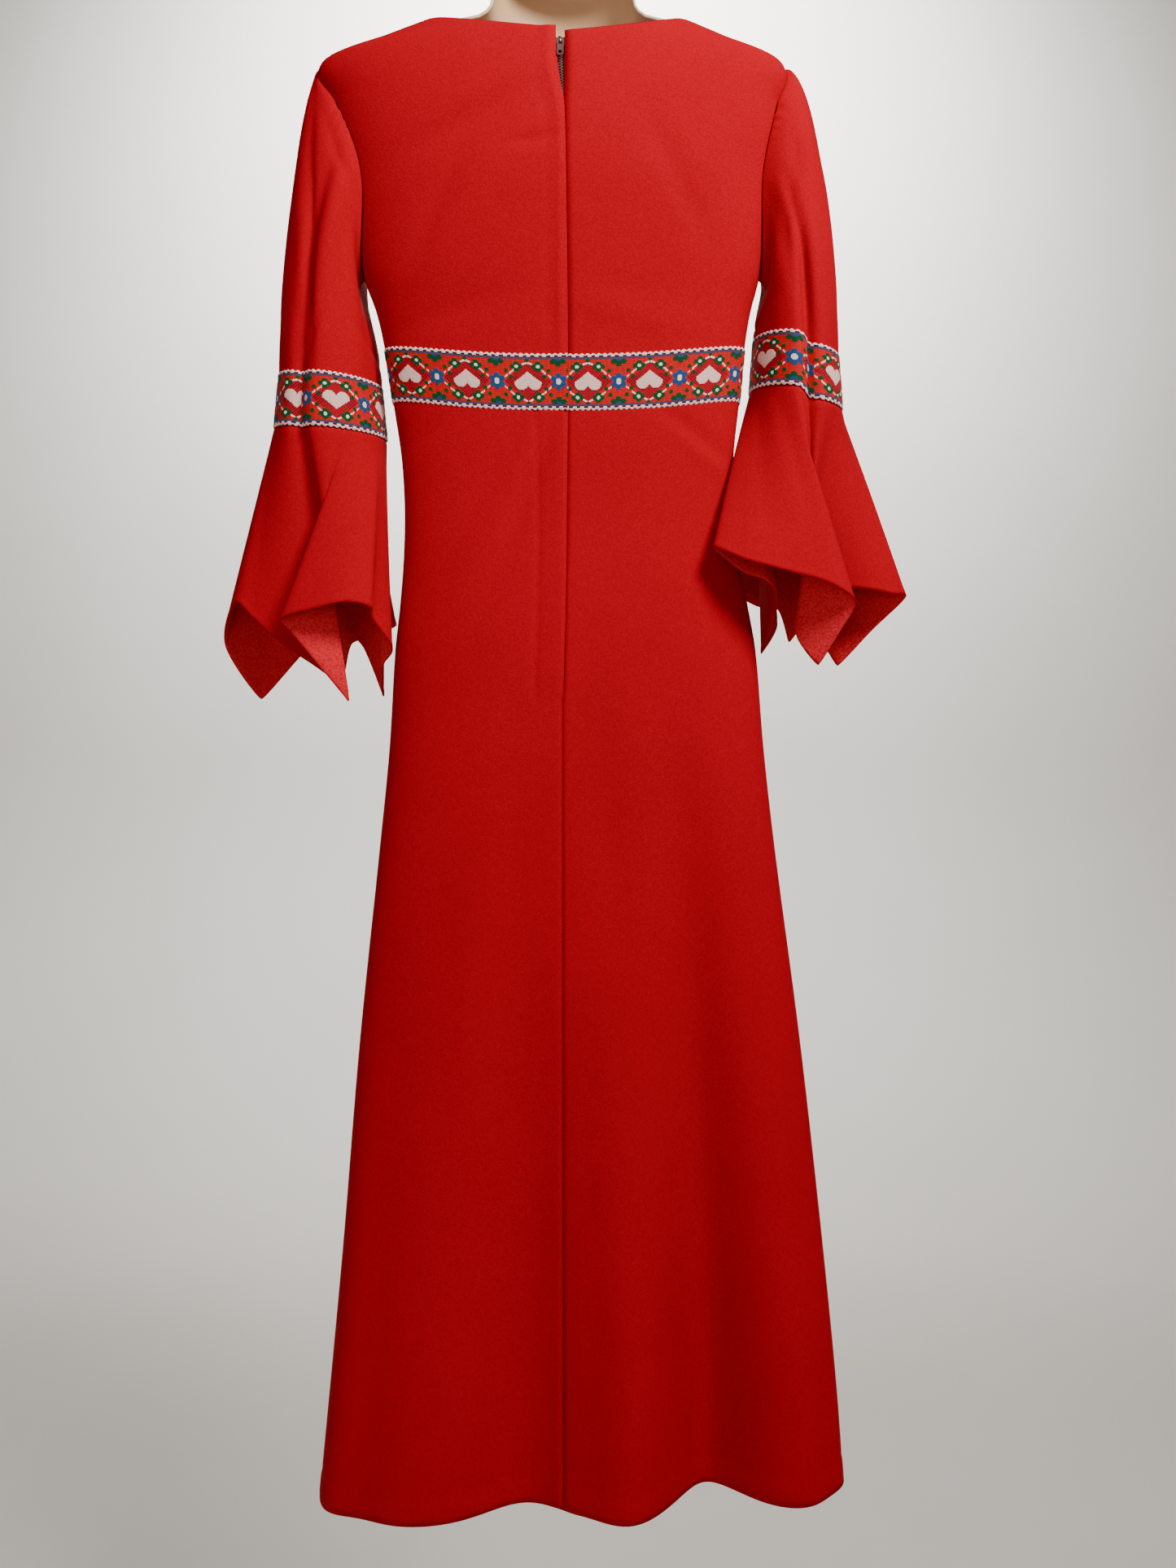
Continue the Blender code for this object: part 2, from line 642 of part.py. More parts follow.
def make_flounce(name, hem_back, hem_front):
    """A square of cloth with a round hole sewn to the cuff, so that it falls in folds and points."""
    cuff = CUFFS[name]
    side, centre_x, centre_y = cuff[:3]
    rows = [Vector(row) for row in hem_back + hem_front]
    hem = smooth_loop(rows, STEPS_PER_FOLD)
    foot = cuff[3] - RIBBON_WIDE - SEAM_GAP / 2
    inner = STEPS_PER_FOLD * (len(hem_back) - 1)
    lengths = [0.0]
    for k in range(len(hem)):
        lengths.append(lengths[-1] + (hem[(k + 1) % len(hem)] - hem[k]).length)
    angles = []
    for k in range(len(hem)):
        if k <= inner:
            angles.append(90 - 180 * lengths[k] / lengths[inner])
        else:
            angles.append(-90 - 180 * (lengths[k] - lengths[inner]) / (lengths[-1] - lengths[inner]))
    grid = []
    for r in range(FLOUNCE_RINGS + 1):
        ring = []
        for angle, (out, back, drop) in zip(angles, hem):
            end = Vector((centre_x + side * out, back, foot - drop))
            ring.append(cuff_point(cuff, angle, foot).lerp(end, r / FLOUNCE_RINGS))
        grid.append(ring)
    normals = grid_normals(grid, -side)
    normals[0] = [cuff_normal(cuff, angle, foot) for angle in angles]
    cloth_wall("flounce_" + name, grid, normals, CLOTH, "cloth", ring=True)


def form_surface(angle, height):
    return section_point(FORM, angle, height)


def make_form():
    """The limbless plastic shell that holds the dress up: front and sides only, hollow behind."""
    places = []
    for height in FORM_ROW_HEIGHTS:
        angles = [FORM_RIM_DEG + (360 - 2 * FORM_RIM_DEG) * c / FORM_COLUMNS for c in range(FORM_COLUMNS + 1)]
        places.append([(angle, height) for angle in angles])
    grid, normals = points_and_normals(form_surface, places)
    inset = [[p - n * (FORM_THICK / 2) for p, n in zip(row, ns)] for row, ns in zip(grid, normals)]
    cloth_wall("torso_form", inset, normals, FORM_THICK, "form")


def closed_mesh_of(guide, name):
    """The mesh of a curve object, its loose caps welded on. The curve is removed."""
    bpy.context.view_layer.update()
    mesh = bpy.data.meshes.new_from_object(guide.evaluated_get(bpy.context.evaluated_depsgraph_get()))
    bpy.data.objects.remove(guide, do_unlink=True)
    mesh.name = name
    bm = bmesh.new()
    bm.from_mesh(mesh)
    bmesh.ops.remove_doubles(bm, verts=bm.verts, dist=0.00001)
    bmesh.ops.recalc_face_normals(bm, faces=bm.faces)
    bm.to_mesh(mesh)
    bm.free()
    return mesh


def flat_outline(name, loops, thickness, finish):
    """A plate cut to an outline in its own X and Y, holes included, as a mesh about its middle."""
    curve = bpy.data.curves.new(name, "CURVE")
    curve.dimensions = "2D"
    curve.fill_mode = "BOTH"
    curve.extrude = thickness / 2 * MM
    for loop in loops:
        spline = curve.splines.new("POLY")
        spline.points.add(len(loop) - 1)
        for point, (x, y) in zip(spline.points, loop):
            point.co = (x * MM, y * MM, 0, 1)
        spline.use_cyclic_u = True
    guide = bpy.data.objects.new(name + "_guide", curve)
    bpy.context.scene.collection.objects.link(guide)
    return add_part(closed_mesh_of(guide, name), name, finish)


def wire(name, points, diameter, finish):
    """A round wire through the points, with closed ends."""
    curve = bpy.data.curves.new(name, "CURVE")
    curve.dimensions = "3D"
    curve.bevel_depth = diameter / 2 * MM
    curve.bevel_resolution = 2
    curve.use_fill_caps = True
    spline = curve.splines.new("POLY")
    spline.points.add(len(points) - 1)
    for point, co in zip(spline.points, points):
        point.co = (*co, 1)
    curve.materials.append(material(finish))
    thing = bpy.data.objects.new(name, curve)
    bpy.data.collections["Dress on hanging form"].objects.link(thing)
    return thing


def make_neck_cap():
    """A flat lid on the neck, where the hook is fixed."""
    top = FORM_ROW_HEIGHTS[-1]
    steps = 24
    outline = []
    for k in range(steps + 1):
        angle = FORM_RIM_DEG + (360 - 2 * FORM_RIM_DEG) * k / steps
        outline.append(tuple(form_surface(angle, top)[:2]))
    cap = flat_outline("neck_cap", [outline], NECK_CAP_THICK, "form")
    cap.location = place(0, 0, top + SEAM_GAP + NECK_CAP_THICK / 2)


def make_hook():
    """A bent wire: a shank up from the neck cap, and a crook whose crown is the origin."""
    foot = FORM_ROW_HEIGHTS[-1] + SEAM_GAP + NECK_CAP_THICK + SEAM_GAP
    wire_radius = HOOK_WIRE / 2
    centre_height = HOOK_ABOVE_HEM - CROOK_RADIUS + wire_radius
    points = [place(0, 0, foot), place(0, 0, centre_height - CROOK_RADIUS - SHANK_BELOW_CROOK)]
    turns = 24
    for k in range(turns + 1):
        turn = math.radians(across(CROOK_START_DEG, CROOK_END_DEG, k / turns))
        points.append(place(CROOK_RADIUS * math.cos(turn), 0, centre_height + CROOK_RADIUS * math.sin(turn)))
    wire("hook", points, HOOK_WIRE, "steel")


def make_zip():
    """The chain and its tape under the back opening, from just below the neck to the zip's foot."""
    for name, wide, thick, inward, foot in (
        ("zip_chain", CHAIN_WIDE, CHAIN_THICK, CLOTH / 2 + SEAM_GAP, ZIP_FOOT + BOTTOM_STOP),
        ("zip_tape", TAPE_WIDE, TAPE_THICK, CLOTH / 2 + 2 * SEAM_GAP + CHAIN_THICK, ZIP_FOOT),
    ):
        grid, normals = [], []
        rows = 20
        for r in range(rows + 1):
            height = foot + (ZIP_HEAD - foot) * r / rows
            middle = (between(OPENING, LAP_EDGE, height) + between(OPENING, UNDER_EDGE, height)) / 2
            angles = [angle_at(middle + wide * share, height) for share in (-0.5, -0.17, 0.17, 0.5)]
            row = [normal_of(body_point, angle, height) for angle in angles]
            depth = inward + thick / 2
            grid.append([body_point(a, height) - n * depth for a, n in zip(angles, row)])
            normals.append(row)
        cloth_wall(name, grid, normals, thick, "steel" if name == "zip_chain" else "zip")


def slider_frame():
    """The slider's place on the cloth and its lean, which follows the slope of the back."""
    angle = angle_at(SLIDER_X, SLIDER_HEIGHT)
    low, here = body_point(angle, SLIDER_HEIGHT - TAB_LONG), body_point(angle, SLIDER_HEIGHT)
    here.x = SLIDER_X
    return here, math.atan2(low.y - here.y, TAB_LONG)


def make_slider():
    """The slider's body between the edges of the opening, with the bail that holds the tab."""
    surface, lean = slider_frame()
    middle = (SLIDER_INNER + SLIDER_OUTER) / 2
    bm = bmesh.new()
    bmesh.ops.create_cube(bm, size=1)
    size = Vector((SLIDER_WIDE, SLIDER_OUTER - SLIDER_INNER, SLIDER_TALL)) * MM
    bmesh.ops.scale(bm, vec=size, verts=bm.verts)
    bmesh.ops.translate(bm, vec=Vector((0, middle, 0)) * MM, verts=bm.verts)
    corners = [e for e in bm.edges if abs(e.verts[0].co.y - e.verts[1].co.y) > size.y / 2]
    bmesh.ops.bevel(bm, geom=corners, offset=SLIDER_CORNER * MM, segments=3, affect="EDGES", profile=0.5,
                    material=-1)
    mesh = bpy.data.meshes.new("zip_slider")
    bm.to_mesh(mesh)
    bm.free()
    slider = add_part(mesh, "zip_slider", "steel")
    steps = 10
    arch = []
    for k in range(steps + 1):
        turn = math.pi * k / steps
        arch.append(Vector((0, SLIDER_OUTER - BAIL_ROOT + (BAIL_RISE + BAIL_ROOT) * math.sin(turn),
                            BAIL_HALF * math.cos(turn))) * MM)
    bail = bpy.data.objects.new("bail_cutter", closed_mesh_of(wire("bail", arch, BAIL_WIRE, "steel"), "bail"))
    bpy.data.collections["Cutters"].objects.link(bail)
    bail.hide_render = True
    bail.display_type = "WIRE"
    for thing in (slider, bail):
        thing.location = place(*surface)
        thing.rotation_euler = (lean, 0, 0)
    union = slider.modifiers.new("bail", "BOOLEAN")
    union.operation = "UNION"
    union.object = bail


def rectangle(half, low, high):
    return [(-half, high), (half, high), (half, low), (-half, low)]


def make_pull_tab():
    """The tab: a plate with a hole for the bail at its top and a window at its foot."""
    half = TAB_WIDE / 2
    inner = half - TAB_CORNER
    bar = TAB_BAR / 2
    foot = bar - TAB_LONG
    top_corner, foot_corner = bar - TAB_CORNER, foot + TAB_CORNER
    outline = [(-inner, bar), (inner, bar), (half, top_corner), (half, foot_corner), (inner, foot),
               (-inner, foot), (-half, foot_corner), (-half, top_corner)]
    hole = rectangle(TAB_HOLE_HALF, -bar - TAB_HOLE_LONG, -bar)
    window = rectangle(TAB_WINDOW_HALF, foot + TAB_WINDOW_LOW, foot + TAB_WINDOW_HIGH)
    tab = flat_outline("zip_pull_tab", [outline, hole, window], TAB_THICK, "steel")
    surface, lean = slider_frame()
    out = SLIDER_OUTER + TAB_STAND_OFF
    tab.location = place(surface.x, surface.y + out * math.cos(lean), surface.z + out * math.sin(lean))
    tab.rotation_euler = (math.pi / 2 + lean, 0, 0)


def main():
    clear_scene()
    for name in ("Dress on hanging form", "Cutters"):
        bpy.context.scene.collection.children.link(bpy.data.collections.new(name))
    edges, bodice = make_bodice()
    skirt = make_skirt()
    make_waist_ribbon(bodice, skirt)
    for name, back, front in (
        ("left", LEFT_HEM_BACK, LEFT_HEM_FRONT),
        ("right", RIGHT_HEM_BACK, RIGHT_HEM_FRONT),
    ):
        make_sleeve(name, edges)
        make_sleeve_ribbon(name)
        make_flounce(name, back, front)
    make_form()
    make_neck_cap()
    make_hook()
    make_zip()
    make_slider()
    make_pull_tab()


main()
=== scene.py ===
"""A red double-knit dress with ribbon bands and square sleeve flounces, hanging on a hollow torso form.

It is seen from behind, as in the photograph. The tables are in millimetres, with heights above the
hem, and place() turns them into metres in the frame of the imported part. The wearer's left is +X.
"""

import math

import bmesh
import bpy
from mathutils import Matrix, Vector


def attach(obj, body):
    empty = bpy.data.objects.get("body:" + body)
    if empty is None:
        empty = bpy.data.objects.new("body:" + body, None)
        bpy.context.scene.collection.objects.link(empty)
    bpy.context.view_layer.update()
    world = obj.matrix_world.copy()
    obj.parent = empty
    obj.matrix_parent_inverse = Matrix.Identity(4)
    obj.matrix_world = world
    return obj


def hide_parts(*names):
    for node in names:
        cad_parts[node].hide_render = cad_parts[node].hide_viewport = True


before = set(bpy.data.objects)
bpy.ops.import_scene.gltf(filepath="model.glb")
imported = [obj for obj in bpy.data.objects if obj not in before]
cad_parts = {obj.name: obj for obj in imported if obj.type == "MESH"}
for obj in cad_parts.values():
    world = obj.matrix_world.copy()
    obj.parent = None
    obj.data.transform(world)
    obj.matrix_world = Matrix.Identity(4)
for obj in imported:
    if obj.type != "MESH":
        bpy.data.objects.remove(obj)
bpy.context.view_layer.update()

# The camera
# A phone held level in front of the back of the dress, at about the height of the hips, with its
# own wide lens. The photograph is taller than it is wide.
PHONE_PLACE = (-0.023, 1.030, -0.797)
PHONE_LENS = 26
PHONE_SENSOR = 34.75

lens = bpy.data.cameras.new("phone")
lens.lens = PHONE_LENS
lens.sensor_width = PHONE_SENSOR
camera = bpy.data.objects.new("phone", lens)
camera.location = PHONE_PLACE
camera.rotation_euler = (math.radians(90), 0, math.radians(180))
bpy.context.scene.collection.objects.link(camera)
bpy.context.scene.camera = camera

# The torso form
# A limbless shell of thin tan plastic, open behind, that the dress hangs on. It is one moulding
# with a rolled rim, and its neck ends in a flat lid with a wire hook in it.
MM = 0.001
HOOK_ABOVE_HEM = 1410.0
FORM_WALL = 2.6
SLOPE_STEP = 1.5
FORM_RIM_DEG = 80.0
FORM_FOOT, FORM_TOP = 690.0, 1338.0
RIM_WIDE, RIM_PROUD, RIM_FLATNESS = 5.0, 0.5, 0.8

# height, half width, centre x, front depth, back depth, squareness
FORM = (
    (690.0, 146.0, -8.0, 74.0, 40.0, 2.4),
    (729.0, 149.0, -10.0, 78.0, 41.0, 2.4),
    (772.0, 145.0, -9.5, 75.0, 38.0, 2.4),
    (815.0, 140.0, -7.5, 70.0, 35.0, 2.4),
    (858.0, 138.0, -6.0, 66.5, 34.0, 2.4),
    (901.0, 140.0, -5.0, 66.5, 34.0, 2.4),
    (944.0, 145.5, -4.0, 71.5, 35.0, 2.4),
    (994.0, 152.0, -2.5, 84.0, 38.0, 2.4),
    (1025.0, 158.0, -1.5, 93.5, 40.0, 2.4),
    (1055.0, 164.0, 0.0, 99.5, 43.0, 2.4),
    (1095.0, 165.0, 1.0, 101.0, 46.0, 2.4),
    (1140.0, 170.0, 3.0, 91.0, 48.0, 2.4),
    (1200.0, 186.0, 6.0, 70.0, 46.0, 2.4),
    (1220.0, 186.0, 7.5, 62.0, 42.0, 2.35),
    (1231.0, 186.0, 8.0, 57.0, 40.0, 2.3),
    (1239.0, 181.0, 8.0, 53.0, 37.0, 2.3),
    (1246.0, 170.0, 7.2, 50.5, 35.0, 2.25),
    (1259.0, 150.0, 6.0, 49.0, 33.0, 2.2),
    (1269.2, 131.5, 4.8, 47.0, 29.0, 2.2),
    (1277.0, 112.0, 3.6, 46.0, 26.0, 2.2),
    (1281.0, 92.0, 1.0, 47.0, 26.0, 2.1),
    (1285.0, 75.0, -0.6, 47.0, 26.0, 2.0),
    (1292.0, 65.5, -1.0, 47.0, 27.0, 2.0),
    (1302.0, 63.2, -1.2, 47.5, 27.0, 2.0),
    (1338.0, 62.5, -1.2, 49.0, 28.0, 2.0),
)
HALF_WIDTH, CENTRE_X, FRONT, BACK, SQUARENESS = 1, 2, 3, 4, 5


def place(point):
    """A table point in millimetres as a point of the part in metres."""
    return Vector((point.x, point.y, point.z - HOOK_ABOVE_HEM)) * MM


def between(rows, column, at):
    """The table's value between its rows, on a smooth curve through them."""
    last = len(rows) - 1
    k = 0
    while k < last - 1 and at > rows[k + 1][0]:
        k += 1

    def slope(i):
        low, high = rows[max(i - 1, 0)], rows[min(i + 1, last)]
        return (high[column] - low[column]) / (high[0] - low[0])

    low, high = rows[k], rows[k + 1]
    span = high[0] - low[0]
    t = min(max((at - low[0]) / span, 0.0), 1.0)
    return (
        (1 + 2 * t) * (1 - t) ** 2 * low[column]
        + t * (1 - t) ** 2 * span * slope(k)
        + t * t * (3 - 2 * t) * high[column]
        - t * t * (1 - t) * span * slope(k + 1)
    )


def signed_power(value, power):
    return math.copysign(abs(value) ** power, value)


def section_point(table, angle, height):
    """A point of a table's surface. The angle is 0 at centre back and 90 at the wearer's left."""
    s, c = math.sin(math.radians(angle)), math.cos(math.radians(angle))
    power = 2 / between(table, SQUARENESS, height)
    depth = between(table, BACK if c > 0 else FRONT, height)
    x = between(table, CENTRE_X, height) + between(table, HALF_WIDTH, height) * signed_power(s, power)
    return Vector((x, depth * signed_power(c, power), height))


def normal_of(surface, angle, height):
    """The outward direction of a surface, from its slopes round and up."""
    round_slope = surface(angle + SLOPE_STEP, height) - surface(angle - SLOPE_STEP, height)
    up_slope = surface(angle, height + SLOPE_STEP) - surface(angle, height - SLOPE_STEP)
    return up_slope.cross(round_slope).normalized()


def across(start, end, share):
    return start + (end - start) * share


def bump(distance, width):
    """A soft hump: 1 in the middle and near 0 beyond its width."""
    return math.exp(-((distance / width) ** 2))


def below(distance, width):
    """1 well under the line and 0 well over it."""
    return 0.5 - 0.5 * math.tanh(distance / width)


def shell(name, spot, columns, rows, inside_out=False, wall=None, closed=False):
    """A grid laid on the places that spot gives for shares round and up, with a wall if it has one."""
    bm = bmesh.new()
    layer = bm.loops.layers.uv.new("UVMap")
    bmesh.ops.create_grid(bm, x_segments=columns, y_segments=rows, size=0.5)
    for face in bm.faces:
        for loop in face.loops:
            loop[layer].uv = loop.vert.co.xy + Vector((0.5, 0.5))
    for vert in bm.verts:
        vert.co = place(spot(vert.co.x + 0.5, vert.co.y + 0.5))
    if closed:
        bmesh.ops.remove_doubles(bm, verts=bm.verts, dist=0.00002)
    if inside_out:
        bmesh.ops.reverse_faces(bm, faces=bm.faces)
    mesh = bpy.data.meshes.new(name)
    bm.to_mesh(mesh)
    bm.free()
    mesh.shade_smooth()
    piece = bpy.data.objects.new(name, mesh)
    bpy.context.scene.collection.objects.link(piece)
    if wall:
        solidify = piece.modifiers.new("wall", "SOLIDIFY")
        solidify.thickness = wall * MM
        solidify.offset = 0
        solidify.material_offset = 1
    return piece


def add_node(tree, kind, settings=(), **values):
    """A shader node with its settings and its sockets' values. A socket as a value is linked."""
    made = tree.nodes.new("ShaderNode" + kind)
    for setting, value in dict(settings).items():
        setattr(made, setting, value)
    for socket, value in values.items():
        numbered = socket[0] == "i" and socket[1:].isdigit()
        entry = made.inputs[int(socket[1:]) if numbered else socket.replace("_", " ")]
        if isinstance(value, bpy.types.NodeSocket):
            tree.links.new(value, entry)
        else:
            entry.default_value = value
    return made


def maths(tree, kind, first, second):
    """The result of a sum on two values or sockets."""
    return add_node(tree, "Math", {"operation": kind}, i0=first, i1=second).outputs[0]


def ramp(tree, factor, *stops):
    made = add_node(tree, "ValToRGB", Fac=factor)
    while len(made.color_ramp.elements) < len(stops):
        made.color_ramp.elements.new(0.5)
    for element, (position, colour) in zip(made.color_ramp.elements, stops):
        element.position = position
        element.color = (*colour, 1.0)
    return made.outputs["Color"]


def new_material(name, **sockets):
    """An empty material: its tree, its shader, and the place on the piece."""
    made = bpy.data.materials.new(name)
    made.use_nodes = True
    tree = made.node_tree
    shader = tree.nodes["Principled BSDF"]
    for socket, value in sockets.items():
        shader.inputs[socket.replace("_", " ")].default_value = value
    where = add_node(tree, "TexCoord").outputs["Object"]
    return made, tree, shader, where


def plastic():
    """Tan moulded plastic with a faint pebbled skin, and a painted highlight that makes its sharp edges
    paler.
    """
    made, tree, shader, where = new_material("tan plastic", Specular_IOR_Level=0.4)
    cloud = add_node(tree, "TexNoise", Vector=where, Scale=14.0, Detail=4.0).outputs["Fac"]
    pebble = add_node(tree, "TexNoise", Vector=where, Scale=900.0, Detail=2.0).outputs["Fac"]
    # Painted highlight: where the surface is sharply convex, as on the rolled rim, the colour turns
    # paler.
    edge = add_node(tree, "NewGeometry").outputs["Pointiness"]
    painted_edge_highlight = ramp(tree, edge, (0.49, (0.0, 0.0, 0.0)), (0.56, (1.0, 1.0, 1.0)))
    tan = ramp(tree, cloud, (0.3, (0.62, 0.35, 0.18)), (0.7, (0.74, 0.45, 0.25)))
    mixed = add_node(tree, "Mix", {"data_type": "RGBA"}, i0=painted_edge_highlight, i6=tan, i7=(0.80, 0.60, 0.40, 1.0))
    tree.links.new(mixed.outputs[2], shader.inputs["Base Color"])
    gloss = ramp(tree, cloud, (0.3, (0.38, 0.38, 0.38)), (0.7, (0.52, 0.52, 0.52)))
    tree.links.new(gloss, shader.inputs["Roughness"])
    skin = add_node(tree, "Bump", Height=pebble, Strength=0.15, Distance=0.0002)
    tree.links.new(skin.outputs["Normal"], shader.inputs["Normal"])
    return made


def form_surface(angle, height):
    return section_point(FORM, angle, height)


def form_spot(u, v):
    angle = across(FORM_RIM_DEG, 360 - FORM_RIM_DEG, u)
    height = across(FORM_FOOT, FORM_TOP, v)
    normal = normal_of(form_surface, angle, height)
    round_turn = math.radians(2 * (180 - FORM_RIM_DEG))
    rim = min(u, 1 - u) * round_turn * between(FORM, HALF_WIDTH, height) * RIM_FLATNESS
    return form_surface(angle, height) - normal * (FORM_WALL / 2 - RIM_PROUD * bump(rim, RIM_WIDE))


tan_plastic = plastic()
torso = shell("form_shell", form_spot, 120, 160, True, FORM_WALL)
torso.data.materials.append(tan_plastic)
torso.data.materials.append(tan_plastic)
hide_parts("torso_form")
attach(torso, "dress")

# The lid and the hook
# The lid closes the neck and is moulded in the same plastic. The hook is a bent wire of bright
# steel, drawn along its length, that is fixed in the lid.


def steel(name, dark, light):
    """Plated metal with fine scratches and duller patches."""
    made, tree, shader, where = new_material(name, Metallic=1.0)
    stretch = add_node(tree, "Mapping", Vector=where, Scale=(3000.0, 3000.0, 300.0)).outputs["Vector"]
    scratch = add_node(tree, "TexNoise", Vector=stretch, Scale=1.0, Detail=3.0).outputs["Fac"]
    patch = add_node(tree, "TexNoise", Vector=where, Scale=120.0, Detail=3.0).outputs["Fac"]
    tree.links.new(ramp(tree, patch, (0.35, dark), (0.65, light)), shader.inputs["Base Color"])
    dull = ramp(tree, patch, (0.3, (0.42, 0.42, 0.42)), (0.7, (0.24, 0.24, 0.24)))
    tree.links.new(dull, shader.inputs["Roughness"])
    lines = add_node(tree, "Bump", Height=scratch, Strength=0.2, Distance=0.00005)
    tree.links.new(lines.outputs["Normal"], shader.inputs["Normal"])
    return made


plated_steel = steel("plated steel", (0.42, 0.39, 0.35), (0.70, 0.68, 0.64))


def finish_node(node, finish):
    """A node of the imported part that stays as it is, in this finish."""
    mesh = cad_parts[node].data
    mesh.materials.clear()
    mesh.materials.append(finish)


finish_node("neck_cap", tan_plastic)
finish_node("hook", plated_steel)

# The cloth
# A thick double knit of crimped polyester. Its right side has a fine pebbled crepe
# texture and hardly creases. The wrong side is paler and grainier, partly as painted light.


def crepe_group():
    """The knit's pebbles and its cloudy dye, from places in metres."""
    group = bpy.data.node_groups.new("crepe knit", "ShaderNodeTree")
    group.interface.new_socket("Place", in_out="INPUT", socket_type="NodeSocketVector")
    group.interface.new_socket("Pebbles", in_out="INPUT", socket_type="NodeSocketFloat")
    group.interface.new_socket("Height", in_out="OUTPUT", socket_type="NodeSocketFloat")
    group.interface.new_socket("Shade", in_out="OUTPUT", socket_type="NodeSocketFloat")
    given = group.nodes.new("NodeGroupInput").outputs
    put_out = group.nodes.new("NodeGroupOutput").inputs
    cells = add_node(group, "TexVoronoi", Vector=given["Place"],
                     Scale=given["Pebbles"]).outputs["Distance"]
    crimp = add_node(group, "TexNoise", Vector=given["Place"], Scale=given["Pebbles"],
                     Detail=3.0).outputs["Fac"]
    dye = add_node(group, "TexNoise", Vector=given["Place"], Scale=9.0, Detail=3.0).outputs["Fac"]
    pebble = maths(group, "SUBTRACT", crimp, maths(group, "MULTIPLY", cells, 0.6))
    group.links.new(pebble, put_out["Height"])
    cloudy = maths(group, "MULTIPLY", dye, 0.25)
    shade = maths(group, "ADD", cloudy, maths(group, "MULTIPLY", pebble, 0.5))
    group.links.new(shade, put_out["Shade"])
    return group


crepe = crepe_group()


def double_knit(name, dark, light, pebbles, relief):
    made, tree, shader, where = new_material(name, Sheen_Weight=0.04, Sheen_Roughness=0.45,
                                             Sheen_Tint=(1.0, 0.02, 0.05, 1.0), Specular_IOR_Level=0.05)
    knit = tree.nodes.new("ShaderNodeGroup")
    knit.node_tree = crepe
    tree.links.new(where, knit.inputs["Place"])
    knit.inputs["Pebbles"].default_value = pebbles
    red = ramp(tree, knit.outputs["Shade"], (0.1, dark), (0.5, light))
    tree.links.new(red, shader.inputs["Base Color"])
    rough = ramp(tree, knit.outputs["Height"], (0.2, (0.92, 0.92, 0.92)), (0.7, (0.72, 0.72, 0.72)))
    tree.links.new(rough, shader.inputs["Roughness"])
    raised = add_node(tree, "Bump", Height=knit.outputs["Height"], Strength=relief, Distance=0.0004)
    tree.links.new(raised.outputs["Normal"], shader.inputs["Normal"])
    return made


right_side = double_knit("knit right side", (0.35, 0.0, 0.007), (0.45, 0.0, 0.011), 620.0, 0.45)
# Painted light: the wrong side's colour is lightened beyond its own paleness to stand in for light
# bounced into the flounces' insides.
wrong_side_paler_with_painted_light = double_knit("knit wrong side with painted light", (0.50, 0.010, 0.018), (0.82, 0.034, 0.048), 520.0, 0.8)

CLOTH = 1.4
WAIST_SIDE = 969.0
WAIST_DIP_BACK = 17.0
WAIST_BACK = WAIST_SIDE - WAIST_DIP_BACK
UNDERARM = 1055.0
SHOULDER_TIP = 1240.0
NECK_POINT = 1280.0
NECK_BACK = {"left": 1252.5, "right": 1248.5}
NECK_FRONT = 1205.0
ZIP_FOOT = 684.0
ZIP_HEAD = 1243.0
SEAM_X = -1.4
HEM_TILT = 6.0
ARMHOLE_BACK_DEG = {"left": 24.0, "right": 15.0}
ARMHOLE_FRONT_DEG = 22.0

# The dress as it hangs: height, half width, centre x, front depth, back depth, squareness
BODY = (
    (0.0, 228.0, -18.0, 104.0, 58.0, 2.4),
    (87.0, 220.7, -19.0, 102.0, 58.0, 2.4),
    (215.0, 208.6, -18.6, 99.0, 57.0, 2.4),
    (387.0, 192.0, -16.0, 96.0, 55.0, 2.4),
    (558.0, 172.0, -13.6, 92.0, 52.0, 2.4),
    (644.0, 163.0, -13.0, 90.0, 50.0, 2.4),
    (729.0, 157.0, -12.0, 85.0, 46.0, 2.4),
    (772.0, 151.0, -10.5, 80.0, 43.0, 2.4),
    (815.0, 145.5, -8.0, 75.0, 40.0, 2.4),
    (858.0, 143.0, -6.0, 71.0, 38.0, 2.4),
    (901.0, 145.0, -5.0, 71.0, 38.0, 2.4),
    (944.0, 150.5, -4.0, 76.0, 39.0, 2.4),
    (994.0, 157.0, -2.5, 88.0, 42.0, 2.4),
    (1025.0, 163.0, -1.5, 97.0, 44.0, 2.4),
    (1055.0, 172.0, 0.0, 103.0, 47.0, 2.4),
    (1095.0, 177.0, 1.0, 104.0, 50.0, 2.4),
    (1140.0, 182.0, 3.0, 94.0, 52.0, 2.4),
    (1200.0, 195.0, 6.0, 73.0, 50.0, 2.4),
    (1240.0, 202.0, 8.5, 60.0, 44.0, 2.3),
    (1260.0, 156.0, 6.0, 54.0, 38.0, 2.2),
    (1280.0, 110.0, 3.6, 50.0, 28.0, 2.2),
)

# Soft folds of the skirt: angle from centre back, spread, outward at the hem, height where it fades
SKIRT_FOLDS = (
    (66.0, 12.0, 12.0, 420.0),
    (38.0, 13.0, 9.0, 560.0),
    (9.0, 11.0, -31.0, 620.0),
    (-6.0, 7.0, 12.0, 520.0),
    (-27.0, 12.0, -56.0, 760.0),
    (-54.0, 10.0, 8.0, 480.0),
    (122.0, 13.0, 12.0, 600.0),
    (148.0, 13.0, -26.0, 680.0),
    (176.0, 15.0, 14.0, 620.0),
    (207.0, 13.0, -30.0, 700.0),
    (233.0, 12.0, 10.0, 560.0),
)

